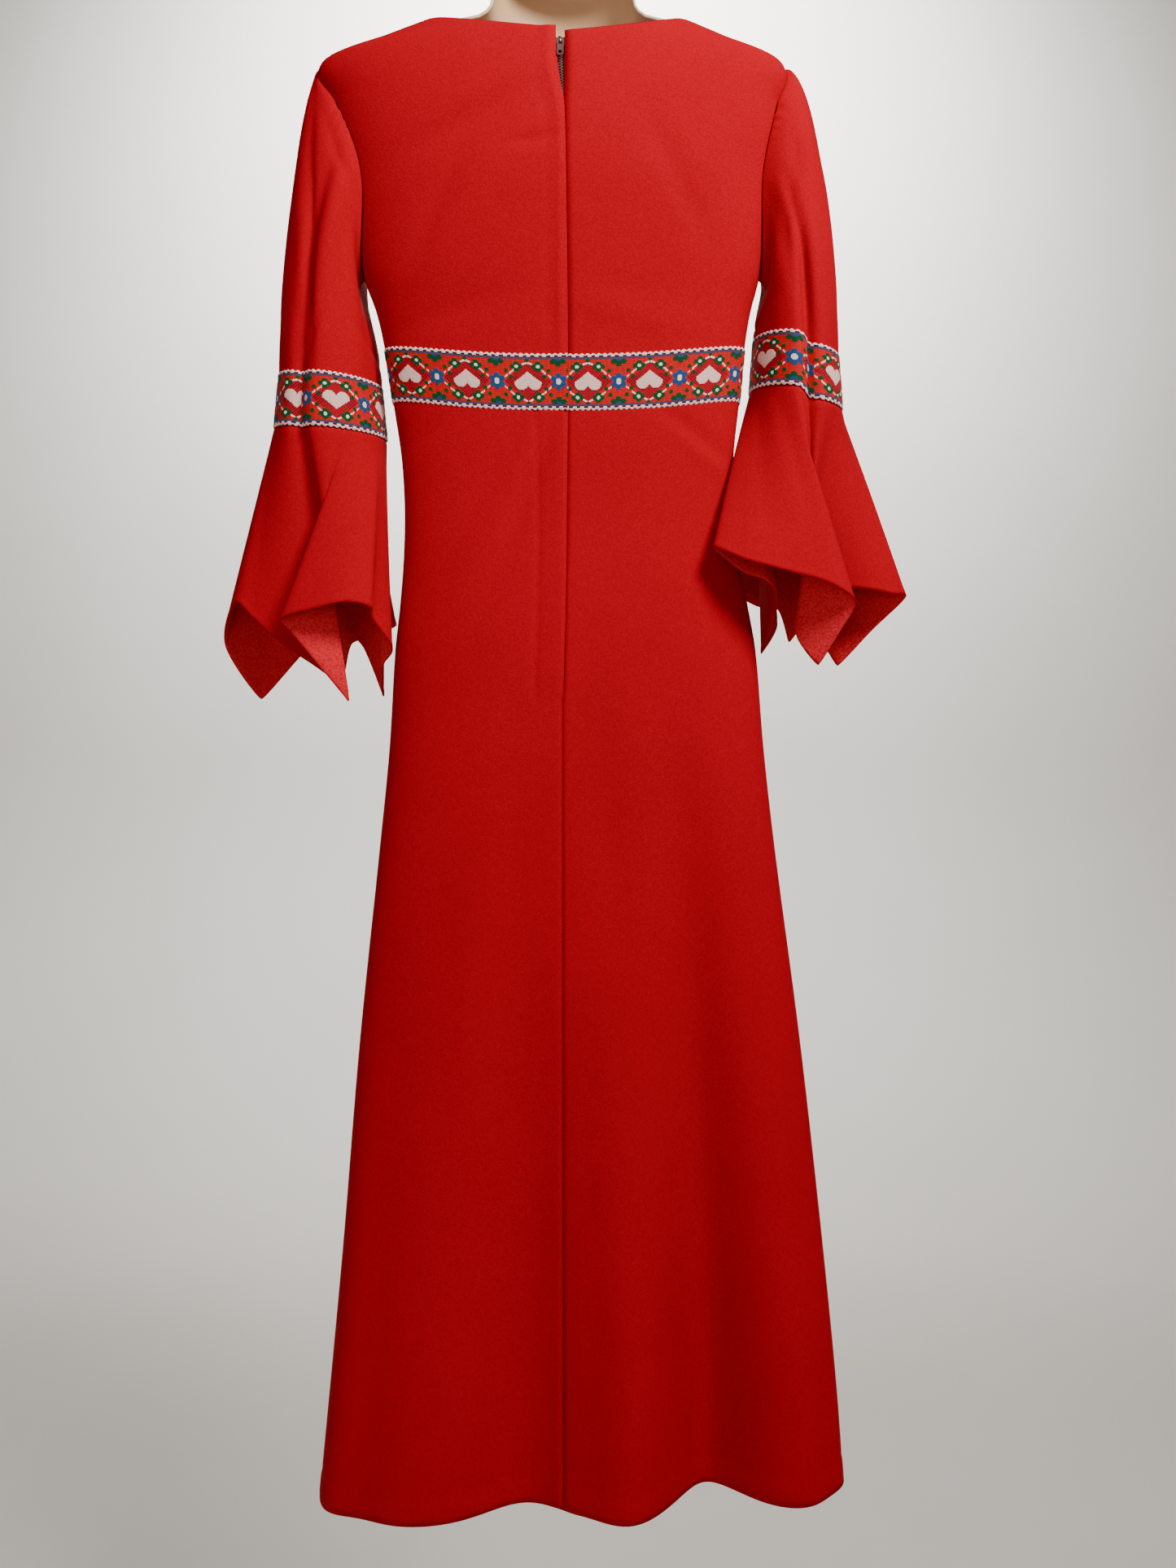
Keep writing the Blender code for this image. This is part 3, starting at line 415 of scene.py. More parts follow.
# The centre back opening: height, edge of the lap (wearer's left), edge under it (wearer's right)
OPENING = (
    (ZIP_FOOT, -2.2, -2.15),
    (760.0, -4.3, -3.6),
    (860.0, -5.4, -4.7),
    (960.0, -6.3, -5.6),
    (1100.0, -5.1, -4.4),
    (1180.0, -3.4, -3.0),
    (1196.0, -0.9, -3.2),
    (1214.0, 2.2, -3.4),
    (1232.0, 3.7, -3.5),
    (1260.0, 4.2, -3.3),
)
LAP_EDGE, UNDER_EDGE = 1, 2

# Soft creases in the cloth: x, height, turn from level, half length, half width, how far out
BACK_CREASES = (
    (75.0, 1172.0, -30.0, 62.0, 13.0, -2.6),
    (62.0, 1196.0, -30.0, 70.0, 12.0, 1.6),
    (20.0, 1152.0, -12.0, 20.0, 5.0, -1.6),
    (36.0, 880.0, -62.0, 95.0, 13.0, 1.8),
    (14.0, 900.0, -70.0, 110.0, 9.0, -1.6),
    (-112.0, 912.0, 34.0, 46.0, 9.0, -1.8),
    (-120.0, 896.0, 38.0, 44.0, 8.0, 1.4),
    (112.0, 915.0, -36.0, 40.0, 9.0, -1.4),
    (-60.0, 1010.0, 12.0, 60.0, 14.0, 1.2),
    (96.0, 1012.0, -14.0, 52.0, 12.0, -1.2),
    (-100.0, 1120.0, 62.0, 60.0, 12.0, -1.6),
    (108.0, 1090.0, -64.0, 56.0, 11.0, -1.4),
    (-40.0, 560.0, 84.0, 150.0, 20.0, -1.8),
    (70.0, 470.0, -86.0, 170.0, 22.0, 1.8),
)
FRONT_CREASES = (
    (-60.0, 1045.0, 62.0, 52.0, 12.0, -1.8),
    (64.0, 1040.0, -60.0, 56.0, 12.0, -1.8),
    (-118.0, 1085.0, 30.0, 40.0, 10.0, -1.6),
    (120.0, 1090.0, -32.0, 42.0, 10.0, -1.6),
    (0.0, 905.0, 4.0, 90.0, 12.0, 1.4),
    (-84.0, 890.0, 30.0, 48.0, 9.0, -1.4),
    (88.0, 884.0, -34.0, 50.0, 9.0, -1.4),
    (24.0, 540.0, 86.0, 160.0, 20.0, 1.6),
)


FOLD_FADE, FOLD_SIDEWAYS = 1.4, 0.35
CREASE_FADE = 20.0


def fold_depth(angle, height):
    depth = 0.0
    for fold_angle, spread, outward, faded in SKIRT_FOLDS:
        away = (angle - fold_angle + 180) % 360 - 180
        rise = max(1 - max(height, 0.0) / faded, 0.0)
        depth += outward * bump(away, spread) * rise**FOLD_FADE
    return depth


def body_point(angle, height):
    point = section_point(BODY, angle, height)
    turn = math.radians(angle)
    return point + Vector((FOLD_SIDEWAYS * math.sin(turn), math.cos(turn), 0)) * fold_depth(angle, height)


def creases_at(point, creases):
    """How far small creases stand out at a point: each is a soft trough or ridge, seen from behind."""
    depth = 0.0
    for x, height, turn, long, wide, out in creases:
        s, c = math.sin(math.radians(turn)), math.cos(math.radians(turn))
        along = (point.x - x) * c + (point.z - height) * s
        beside = (point.z - height) * c - (point.x - x) * s
        depth += out * bump(along, long) * bump(beside, wide)
    return depth


def crease_depth(point):
    creases = BACK_CREASES if point.y > 0 else FRONT_CREASES
    return creases_at(point, creases) * min(abs(point.y) / CREASE_FADE, 1.0)


def angle_at(x, height):
    """The angle on the back of the body where it has this x."""
    share = (x - between(BODY, CENTRE_X, height)) / between(BODY, HALF_WIDTH, height)
    s = signed_power(share, between(BODY, SQUARENESS, height) / 2)
    return math.degrees(math.asin(max(-1.0, min(1.0, s))))


def waist_height(angle):
    return WAIST_SIDE - WAIST_DIP_BACK * max(math.cos(math.radians(angle)), 0.0) ** 2


def armhole_angle(height, depth_deg):
    """The bodice's edge at the sleeve: it leaves the side seam, curves in and comes back at the tip."""
    if height <= UNDERARM or height >= SHOULDER_TIP:
        return 90.0
    share = (height - UNDERARM) / (SHOULDER_TIP - UNDERARM)
    return 90.0 - depth_deg * math.sin(math.pi * share) ** 0.7


def back_line(column):
    """The angle of a back panel's centre edge at a height: the zip opening, then the seam."""

    def angle(height):
        if height < ZIP_FOOT:
            return angle_at(SEAM_X, height)
        return angle_at(between(OPENING, column, height), height)

    return angle


SEAM_ROLL, SEAM_DEEP = 1.7, 0.9
STITCH_FROM_LAP = 15.0
STITCH_DEEP, STITCH_WIDE = 0.95, 1.7
LAP_PROUD, LAP_SPREAD, LAP_FADE = 1.3, 7.0, 20.0
ZIP_EDGE_ROLL, CENTRE_SEAM_ROLL = 0.6, 0.3
HEM_DEEP, HEM_STEP = 21.0, 0.5
HEM_DIMPLE, HEM_DIMPLE_WIDE = 0.55, 2.2


def rolled(distance):
    """The cloth turns in at a seam."""
    return -SEAM_DEEP * bump(distance, SEAM_ROLL)


def on_the_body(angle, height, relief):
    point = body_point(angle, height)
    return point + normal_of(body_point, angle, height) * (crease_depth(point) + relief)


# The bodice
# One front with a wide, shallow neck that dips to a slight point, and two backs that meet at a
# lapped zip. The edges turn in at the seams, and the lap beside the zip is topstitched.
UNDERARM_SHARE, TIP_SHARE = 0.27, 0.86
HALF_BACK_WIDE, HALF_FRONT_WIDE, BODICE_TALL = 160.0, 230.0, 330.0


def edge_height_at(v):
    """The height at the side edge, so that a row falls on the underarm and one on the shoulder's tip."""
    if v < UNDERARM_SHARE:
        return across(WAIST_SIDE, UNDERARM, v / UNDERARM_SHARE)
    if v < TIP_SHARE:
        return across(UNDERARM, SHOULDER_TIP, (v - UNDERARM_SHARE) / (TIP_SHARE - UNDERARM_SHARE))
    return across(SHOULDER_TIP, NECK_POINT, (v - TIP_SHARE) / (1 - TIP_SHARE))


def bodice_place(s, v, centre_angle, side, armhole_deg, centre_top, at_front):
    """Angle and height in half a bodice: s is 0 on its centre line and 1 on its side edge."""
    edge_height = edge_height_at(v)
    share_up = (edge_height - WAIST_SIDE) / (NECK_POINT - WAIST_SIDE)
    top = centre_top + (NECK_POINT - centre_top) * math.sin(math.radians(90 * s)) ** 1.15
    edge = armhole_angle(edge_height, armhole_deg)
    edge = 180 - edge if at_front else edge
    foot = waist_height(across(centre_angle(WAIST_BACK), side * 90, s))
    height = foot + (top - foot) * share_up
    return across(centre_angle(height), side * edge, s), height


def lap_relief(distance, height):
    """The topstitched line that holds the zip's lap, and the lap's own edge."""
    if height < ZIP_FOOT:
        return 0.0
    edge = LAP_PROUD * bump(distance, LAP_SPREAD) * min((height - ZIP_FOOT) / LAP_FADE, 1.0)
    stitched = -STITCH_DEEP * bump(distance - STITCH_FROM_LAP, STITCH_WIDE)
    return edge + stitched + 0.3 * bump(distance - STITCH_FROM_LAP / 2, 6.0)


def back_bodice_spot(side, name, column):
    line = back_line(column)

    def spot(u, v):
        s = u**0.9
        angle, height = bodice_place(s, v, line, side, ARMHOLE_BACK_DEG[name], NECK_BACK[name], False)
        from_centre = abs(body_point(angle, height).x - body_point(line(height), height).x)
        relief = rolled((1 - s) * HALF_BACK_WIDE) + rolled((1 - v) * BODICE_TALL)
        if side > 0:
            relief += lap_relief(from_centre, height)
        return on_the_body(angle, height, relief + ZIP_EDGE_ROLL * rolled(from_centre))

    return spot


def front_bodice_spot(u, v):
    side = 1 if u < 0.5 else -1
    s = abs(1 - 2 * u)
    angle, height = bodice_place(s, v, lambda height: 180.0 * side, side, ARMHOLE_FRONT_DEG,
                                 NECK_FRONT, True)
    relief = rolled((1 - s) * HALF_FRONT_WIDE) + rolled((1 - v) * BODICE_TALL)
    return on_the_body(angle, height, relief)


def dress_panel(name, spot, columns, rows, inside_out=False, closed=False):
    """A panel of the knit that stands for the node of the same name."""
    panel = shell(name + "_cloth", spot, columns, rows, inside_out, CLOTH, closed)
    panel.data.materials.append(right_side)
    panel.data.materials.append(wrong_side_paler_with_painted_light)
    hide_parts(name)
    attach(panel, "dress")


dress_panel("back_bodice_left", back_bodice_spot(1, "left", LAP_EDGE), 90, 130, True)
dress_panel("back_bodice_right", back_bodice_spot(-1, "right", UNDER_EDGE), 90, 130)
dress_panel("front_bodice", front_bodice_spot, 180, 130, True)

# The skirt
# An A-line skirt in three pieces, one front and two backs, with side seams and a centre back seam
# below the zip. The hem is turned up by 21 mm and blind stitched, which leaves a faint ridge.
BACK_SKIRT_WIDE, FRONT_SKIRT_WIDE = 190.0, 430.0


def skirt_place(s, v, start_line, end_line):
    share = v**0.9
    rough = across(start_line(WAIST_BACK), end_line(WAIST_BACK), s)
    foot = -HEM_TILT * math.sin(math.radians(rough))
    height = across(foot, waist_height(rough), share)
    return across(start_line(height), end_line(height), s), height, height - foot


def hem_relief(above_hem):
    """The doubled cloth of the hem stands a little proud up to where it is stitched."""
    from_stitch = above_hem - HEM_DEEP
    return HEM_STEP * below(from_stitch, 2.4) - HEM_DIMPLE * bump(from_stitch, HEM_DIMPLE_WIDE)


def skirt_spot(start_line, end_line, wide, side):
    def spot(u, v):
        angle, height, above_hem = skirt_place(u, v, start_line, end_line)
        relief = hem_relief(above_hem) + rolled((1 - u) * wide)
        if side == 0:
            relief += rolled(u * wide)
        else:
            from_centre = u * wide
            relief += (ZIP_EDGE_ROLL if height > ZIP_FOOT else CENTRE_SEAM_ROLL) * rolled(from_centre)
            if side > 0:
                relief += lap_relief(from_centre, height)
        return on_the_body(angle, height, relief)

    return spot


for side, name, column in ((1, "left", LAP_EDGE), (-1, "right", UNDER_EDGE)):
    spot = skirt_spot(back_line(column), lambda height, side=side: 90.0 * side, BACK_SKIRT_WIDE, side)
    dress_panel("back_skirt_" + name, spot, 100, 260, side > 0)
front_spot = skirt_spot(lambda height: 90.0, lambda height: 270.0, FRONT_SKIRT_WIDE, 0)
dress_panel("front_skirt", front_spot, 180, 260, True)

# The sleeves
# Each is set into its armhole with a few gathers at its head, and tapers to the elbow, where the
# ribbon and the flounce are sewn on.
RIBBON_WIDE = 46.0
SEAM_GAP = 0.3
UNDERARM_OUT, UNDERARM_BLEND = 2.0, 0.42
HEAD_RISE = {"left": -0.5, "right": 0.3}
HEAD_OUT = {"left": 0.45, "right": 0.85}
GROOVE_SPREAD = 10.0
CUFF_TILT = 7.0
CUFF_SHARE = 0.16
SLEEVE_LONG = 300.0
GATHER_FROM = 0.62
# side, centre x, centre y, ribbon top, half width at top, at foot, half depth, groove angle, groove,
# how much lower the outer side is
CUFFS = {
    "left": (1, 205.0, -12.0, 969.0, 43.5, 48.0, 52.0, 22.0, 7.0, -4.0),
    "right": (-1, -207.0, -12.0, 998.0, 36.0, 39.5, 52.0, 4.0, 8.0, 6.0),
}
# How much lower the ribbon steps at the groove
CUFF_STEP = {1: 0.0, -1: 4.2}
# Creases down the back of each sleeve, in the same columns as the body's
SLEEVE_CREASES = {
    "left": ((213.0, 1078.0, 89.0, 108.0, 4.2, -3.0), (223.0, 1090.0, 88.0, 90.0, 6.0, 1.3),
             (199.0, 1040.0, 96.0, 70.0, 8.0, 1.0), (190.0, 1150.0, 70.0, 34.0, 5.0, -1.5),
             (207.0, 1000.0, 112.0, 26.0, 4.0, -1.3)),
    "right": ((-207.0, 1044.0, 88.0, 46.0, 4.5, -2.4), (-216.0, 1096.0, 84.0, 84.0, 8.0, 1.6),
              (-196.0, 1120.0, 98.0, 60.0, 7.0, -1.4), (-222.0, 1180.0, 76.0, 36.0, 5.0, -1.4),
              (-190.0, 1050.0, 80.0, 38.0, 6.0, 1.0)),
}
# The armhole's points at the back: heights of its even steps from the underarm to the tip
ARMHOLE_STEPS = (1055.0, 1076.0, 1098.0, 1122.0, 1146.0, 1170.0, 1194.0, 1218.0, 1240.0)


def cuff_point(cuff, angle, height):
    """A point of the sleeve's end. The angle is 0 at the back and 90 on the side away from the body."""
    side, centre_x, centre_y, top, half_top, half_foot, half_depth, groove_angle, groove, roll = cuff
    down = (top - height) / RIBBON_WIDE
    half = half_top + (half_foot - half_top) * max(down, 0.0)
    away = (angle - groove_angle + 180) % 360 - 180
    shrink = 1 - groove / half_depth * bump(away, GROOVE_SPREAD)
    s, c = math.sin(math.radians(angle)), math.cos(math.radians(angle))
    step = CUFF_STEP[side] * math.tanh(away / 7) * math.cos(math.radians(away / 2))
    return Vector((centre_x + side * half * s * shrink, centre_y + half_depth * c * shrink,
                   height - CUFF_TILT * c - roll * s - step))


def cuff_normal(cuff, angle, height):
    round_slope = cuff_point(cuff, angle + 2, height) - cuff_point(cuff, angle - 2, height)
    up_slope = cuff_point(cuff, angle, height + 2) - cuff_point(cuff, angle, height - 2)
    return up_slope.cross(round_slope).normalized() * cuff[0]


def armhole_start(name, share):
    """The armhole's point, outward direction and direction off the bodice. It runs from the underarm
    up the back to the tip at a half, and down the front."""
    side = CUFFS[name][0]
    at_front = share > 0.5
    step = min(2 * share if not at_front else 2 - 2 * share, 1.0) * (len(ARMHOLE_STEPS) - 1)
    k = min(int(step), len(ARMHOLE_STEPS) - 2)
    height = across(ARMHOLE_STEPS[k], ARMHOLE_STEPS[k + 1], step - k)
    depth_deg = ARMHOLE_FRONT_DEG if at_front else ARMHOLE_BACK_DEG[name]
    edge = armhole_angle(height, depth_deg)
    angle = side * (180 - edge if at_front else edge)
    point = body_point(angle, height)
    inner = body_point(angle + side * (6 if at_front else -6), height)
    off = (point - inner).normalized()
    if height > SHOULDER_TIP - 1:
        off = (point - body_point(angle, height + 8)).normalized()
    return point, normal_of(body_point, angle, height), off


def sleeve_spot(name):
    cuff = CUFFS[name]
    side, top = cuff[0], cuff[3]
    foot = top - RIBBON_WIDE + SEAM_GAP / 2
    columns = {}

    def column(u):
        key = round(u, 6)
        if key not in columns:
            point, normal, off = armhole_start(name, u % 1.0)
            turn = 2 * math.pi * u
            head = (1 - math.cos(turn)) / 2
            low = max(1 - head / UNDERARM_BLEND, 0.0) ** 1.5
            start = point + off * 0.3 + normal * UNDERARM_OUT * low
            leave = Vector((side * across(0.95, HEAD_OUT[name], head), 0.75 * math.sin(turn),
                            across(-0.3, HEAD_RISE[name], head)))
            columns[key] = (start, start + leave * (14 + 16 * head), head)
        return columns[key]

    def tube(u, v):
        angle = 270 + 360 * u
        end = cuff_point(cuff, angle, top)
        start, leaving = column(u % 1.0)[:2]
        if v < CUFF_SHARE:
            return cuff_point(cuff, angle, across(foot, top, v / CUFF_SHARE))
        t = (1 - v) / (1 - CUFF_SHARE)
        arriving = end + Vector((0, 0, 0.45 * (start - end).length))
        w = 1 - t
        return start * w**3 + leaving * (3 * w * w * t) + arriving * (3 * w * t * t) + end * t**3

    def spot(u, v):
        point = tube(u, v)
        round_slope = tube(u + 0.004, v) - tube(u - 0.004, v)
        up_slope = tube(u, min(v + 0.01, 1.0)) - tube(u, max(v - 0.01, 0.0))
        normal = up_slope.cross(round_slope).normalized() * side
        head = column(u % 1.0)[2]
        down = (1 - v) * SLEEVE_LONG
        gathered = max(head - GATHER_FROM, 0.0) / (1 - GATHER_FROM) * bump(down - 9, 16)
        gather = 1.3 * gathered * math.sin(u * 150 + 4 * math.sin(u * 37))
        hang = 1.3 * math.sin(u * 44 + 1.3 + v * 2) * bump(v - 0.55, 0.3) * min(down / 60, 1.0)
        wave = u * 12.6
        elbow = 1.4 * bump(v - 0.30 - 0.06 * math.sin(wave), 0.035) * max(math.sin(wave + 1.0), 0.0)
        relief = gather + hang - elbow + 1.4 * rolled(down)
        if normal.y > 0:
            fade = min(normal.y * 2, 1.0) * min(down / CREASE_FADE, 1.0)
            relief += creases_at(point, SLEEVE_CREASES[name]) * fade
        return point + normal * relief

    return spot


for name in ("left", "right"):
    dress_panel("sleeve_" + name, sleeve_spot(name), 144, 120, name == "left", True)

# The flounces
# Each is a square of the same cloth with a round hole sewn to the sleeve, so that it falls in folds
# with its corners as points. It has a narrow stitched hem, and its wrong side shows, paler partly as
# painted light.
# A row for each fold, from the outer side round by the back to the inner side, then round the front:
# out from the cuff's centre, towards the back, drop below the cuff
LEFT_HEM_BACK = (
    (92, -8, 189), (77, 17, 154), (59, 23, 168), (34, 25, 190), (2, 22, 212),
    (-19, 23, 229), (-24, 33, 239), (20, 48, 183), (26, 58, 173), (0, 64, 166),
    (-28, 65, 160), (-47, 57, 163), (-46, 42, 170), (-60, 26, 193),
)
LEFT_HEM_FRONT = (
    (-50, 11, 206), (-46, -7, 220), (-44, -24, 231), (-24, -36, 186), (-6, -42, 168),
    (-30, -66, 160), (-44, -94, 158), (-20, -104, 168), (-4, -80, 178), (8, -106, 200),
    (30, -112, 172), (36, -82, 162), (20, -56, 174), (34, -44, 192), (68, -34, 233),
)
RIGHT_HEM_BACK = (
    (93, 4, 176), (80, 12, 174), (62, 15, 171), (38, 14, 169), (12, 13, 175),
    (-3, 17, 191), (-5, 26, 214), (11, 35, 238), (28, 45, 210), (38, 55, 189),
    (26, 63, 179), (8, 65, 171), (-12, 66, 166), (-34, 66, 160), (-56, 62, 153), (-79, 49, 141),
)
RIGHT_HEM_FRONT = (
    (-54, 39, 159), (-33, 36, 167), (-22, 27, 182), (-27, 11, 209), (-31, -4, 224),
    (-14, -24, 195), (-26, -50, 167), (-44, -78, 159), (-22, -98, 168), (-4, -76, 176),
    (10, -100, 202), (32, -106, 173), (38, -76, 163), (22, -50, 185), (41, -30, 232), (70, -17, 201),
)
# A drop below the cuff of this much or more is a corner of the square, which stays crisp
CORNER_DROP, CORNER_ROUND = 200, 0.25
STEPS_PER_FOLD = 10
FLOUNCE_HEM, FLOUNCE_HEM_STEP = 7.0, 0.3
FLOUNCE_SAG = 0.77


def smooth_loop(points, steps):
    """A closed curve through the points, with this many steps to each. Its corners are nearly sharp."""
    count = len(points)

    def roundness(k):
        before, drop, after = (points[(k + j) % count].z for j in (-1, 0, 1))
        return CORNER_ROUND if drop >= max(before, after, CORNER_DROP) else 1.0

    curve = []
    for k in range(count):
        before, here, there, after = (points[(k + j) % count] for j in (-1, 0, 1, 2))
        leaving, arriving = (there - before) / 2 * roundness(k), (after - here) / 2 * roundness(k + 1)
        for step in range(steps):
            t = step / steps
            curve.append(
                here * ((1 + 2 * t) * (1 - t) ** 2) + leaving * (t * (1 - t) ** 2)
                + there * (t * t * (3 - 2 * t)) - arriving * (t * t * (1 - t))
            )
    return curve


def flounce_spot(name, hem_back, hem_front):
    cuff = CUFFS[name]
    side, centre_x = cuff[:2]
    hem = smooth_loop([Vector(row) for row in hem_back + hem_front], STEPS_PER_FOLD)
    foot = cuff[3] - RIBBON_WIDE - SEAM_GAP / 2
    inner = STEPS_PER_FOLD * (len(hem_back) - 1)
    lengths = [0.0]
    for k in range(len(hem)):
        lengths.append(lengths[-1] + (hem[(k + 1) % len(hem)] - hem[k]).length)

    def tube(k, v):
        k %= len(hem)
        if k <= inner:
            angle = 90 - 180 * lengths[k] / lengths[inner]
        else:
            angle = -90 - 180 * (lengths[k] - lengths[inner]) / (lengths[-1] - lengths[inner])
        out, back, drop = hem[k]
        end = Vector((centre_x + side * out, back, foot - drop))
        start = cuff_point(cuff, angle, foot)
        point = start.lerp(end, 1 - v)
        return point, (end - start).length

    def spot(u, v):
        k = round(u * len(hem))
        point, long = tube(k, v)
        round_slope = tube(k + 1, v)[0] - tube(k - 1, v)[0]
        up_slope = tube(k, min(v + 0.02, 1.0))[0] - tube(k, max(v - 0.02, 0.0))[0]
        normal = up_slope.cross(round_slope).normalized() * -side
        above_hem = v * long
        from_stitch = above_hem - FLOUNCE_HEM
        relief = FLOUNCE_HEM_STEP * (below(from_stitch, 1.6) - bump(from_stitch, 1.4))
        sag = FLOUNCE_SAG * math.sin(math.pi * v) * math.sin(k * 0.21 + 2.0)
        return point + normal * (relief + sag + 1.2 * rolled((1 - v) * long))

    return spot, len(hem)


for name, hem_back, hem_front in (
    ("left", LEFT_HEM_BACK, LEFT_HEM_FRONT),
    ("right", RIGHT_HEM_BACK, RIGHT_HEM_FRONT),
):
    spot, steps = flounce_spot(name, hem_back, hem_front)
    dress_panel("flounce_" + name, spot, steps, 60, name == "right", True)

# The ribbon bands
# A woven folk ribbon: pale hearts in a garland of small green flowers, blue flowers between them, and
# a looped pink edge. It is stitched over the waist seam and round each sleeve above the flounce.
RIBBON_THICK = 1.0
RIBBON_OUT = CLOTH / 2 + SEAM_GAP + RIBBON_THICK / 2
REPEAT = 53.0
THREAD = 0.62
YARNS = {
    "ground": (0.60, 0.002, 0.005),
    "ground shade": (0.42, 0.001, 0.003),
    "crimson": (0.52, 0.0, 0.010),
    "maroon": (0.10, 0.0, 0.008),
    "pink": (1.0, 0.64, 0.58),
    "heart": (0.86, 0.55, 0.49),
    "green": (0.001, 0.060, 0.014),
    "pale": (0.72, 0.90, 0.68),
    "blue": (0.012, 0.060, 0.17),
    "purple": (0.045, 0.0, 0.022),
    "edge line": (0.070, 0.045, 0.10),
}
EDGE_LOOPS, EDGE_CHECKS = 11, 8
LOOP_REACH = 1.5
PINK_FROM, CHECKS_FROM, LINE_FROM = 21.9, 20.4, 18.7
HALF_REPEAT = REPEAT / 2
# across from the heart's middle, up from the middle line
GARLAND_FLOWERS = ((9.2, 12.4), (9.0, -13.2))
GARLAND_DOTS = ((14.4, 4.0), (18.2, 9.0), (15.6, -5.8), (19.4, -11.0), (0.0, 17.6), (0.0, -18.2))
# across, up, half length, slope of the dash
GARLAND_DASHES = ((13.6, 8.2, 2.0, -0.8), (18.6, 4.4, 1.2, -0.8), (13.4, -10.0, 2.0, 0.8),
                  (18.8, -5.4, 1.2, 0.8), (2.1, 14.9, 2.4, -0.35), (2.1, -16.0, 2.3, 0.5))
DOT, DASH = 1.85, 0.8
HEART_WIDEST, HEART_TIP = 0.5, -8.4
FLOWER_REACH, FLOWER_HEART = 7.3, (2.1, 2.7)
HALF_FLOWER_REACH, HALF_FLOWER_HEART = 6.6, (2.6, 2.2)
GREEN_REACH, GREEN_HEART = 4.6, 1.5
NET_WIDE, NET_TALL, NET_PITCH, NET_LINE = 20.5, 16.0, 2.6, 0.24
CHECK_SHARE = 0.52
LINE_STEPS = 400


def heart_inside(x, y):
    """A broad heart, 23 mm wide and 15 mm tall, with its point down and its sides hollow."""
    side_x = abs(x)
    if y > HEART_WIDEST:
        return math.hypot((side_x - 5.7) / 5.9, (y - 1.0) / 6.0) < 1
    return side_x < 11.5 * max((y - HEART_TIP) / (HEART_WIDEST - HEART_TIP), 0.0) ** 1.1


def petals_inside(x, y, petals, reach):
    """A flower with rounded petals, one of them straight up."""
    angle = petals * (math.atan2(y, x) - math.pi / 2) / 2
    return math.hypot(x, y) < reach * (0.58 + 0.42 * abs(math.cos(angle)) ** 0.6)


def edge_yarn(x, edge):
    """The loops, checks and line along the ribbon's edges."""
    if edge > PINK_FROM:
        return "pink"
    if edge > CHECKS_FROM:
        return "purple" if ((x + HALF_REPEAT) * EDGE_CHECKS / REPEAT) % 1.0 < CHECK_SHARE else "pink"
    return "edge line"


def flower_yarn(flower_x, y, edge):
    """The blue flower between the hearts, and the half flowers over and under it."""
    if math.hypot(flower_x / FLOWER_HEART[0], y / FLOWER_HEART[1]) < 1:
        return "pink"
    if petals_inside(flower_x, y, 6, FLOWER_REACH):
        return "blue"
    from_line = LINE_FROM - edge
    if math.hypot(flower_x / HALF_FLOWER_HEART[0], from_line / HALF_FLOWER_HEART[1]) < 1:
        return "blue"
    if petals_inside(flower_x / 1.15, from_line, 6, HALF_FLOWER_REACH):
        return "green"
    return None


def garland_yarn(side_x, y):
    """The small green flowers, dots and pink dashes round each heart."""
    for flower, up in GARLAND_FLOWERS:
        if math.hypot(side_x - flower, y - up) < GREEN_HEART:
            return "pale"
        if petals_inside((side_x - flower) / 1.2, y - up, 4, GREEN_REACH):
            return "green"
    for dot, up in GARLAND_DOTS:
        if math.hypot(side_x - dot, y - up) < DOT:
            return "green"
    for dash, up, half, slope in GARLAND_DASHES:
        if abs(side_x - dash) < half and abs(y - up - slope * (side_x - dash)) < DASH:
            return "pink"
    return None


def yarn_at(x, y, point_up):
    """The yarn on top at a place of the repeat, which has a heart in its middle."""
    side_x, edge = abs(x), abs(y)
    if edge > LINE_FROM:
        return edge_yarn(x, edge)
    if heart_inside(x, -y if point_up else y):
        return "heart"
    found = flower_yarn(HALF_REPEAT - side_x, y, edge) or garland_yarn(side_x, y)
    if found:
        return found
    if side_x / NET_WIDE + edge / NET_TALL < 1.0:
        crossing = min((x + y) / NET_PITCH % 1.0, (x - y) / NET_PITCH % 1.0)
        return "maroon" if crossing < NET_LINE else "crimson"
    return "ground shade" if round(y / THREAD) % 3 == 0 and round(x / THREAD) % 7 < 5 else "ground"


RAISED = {"heart": 0.35, "blue": 0.3, "green": 0.25, "pink": 0.3, "pale": 0.35}


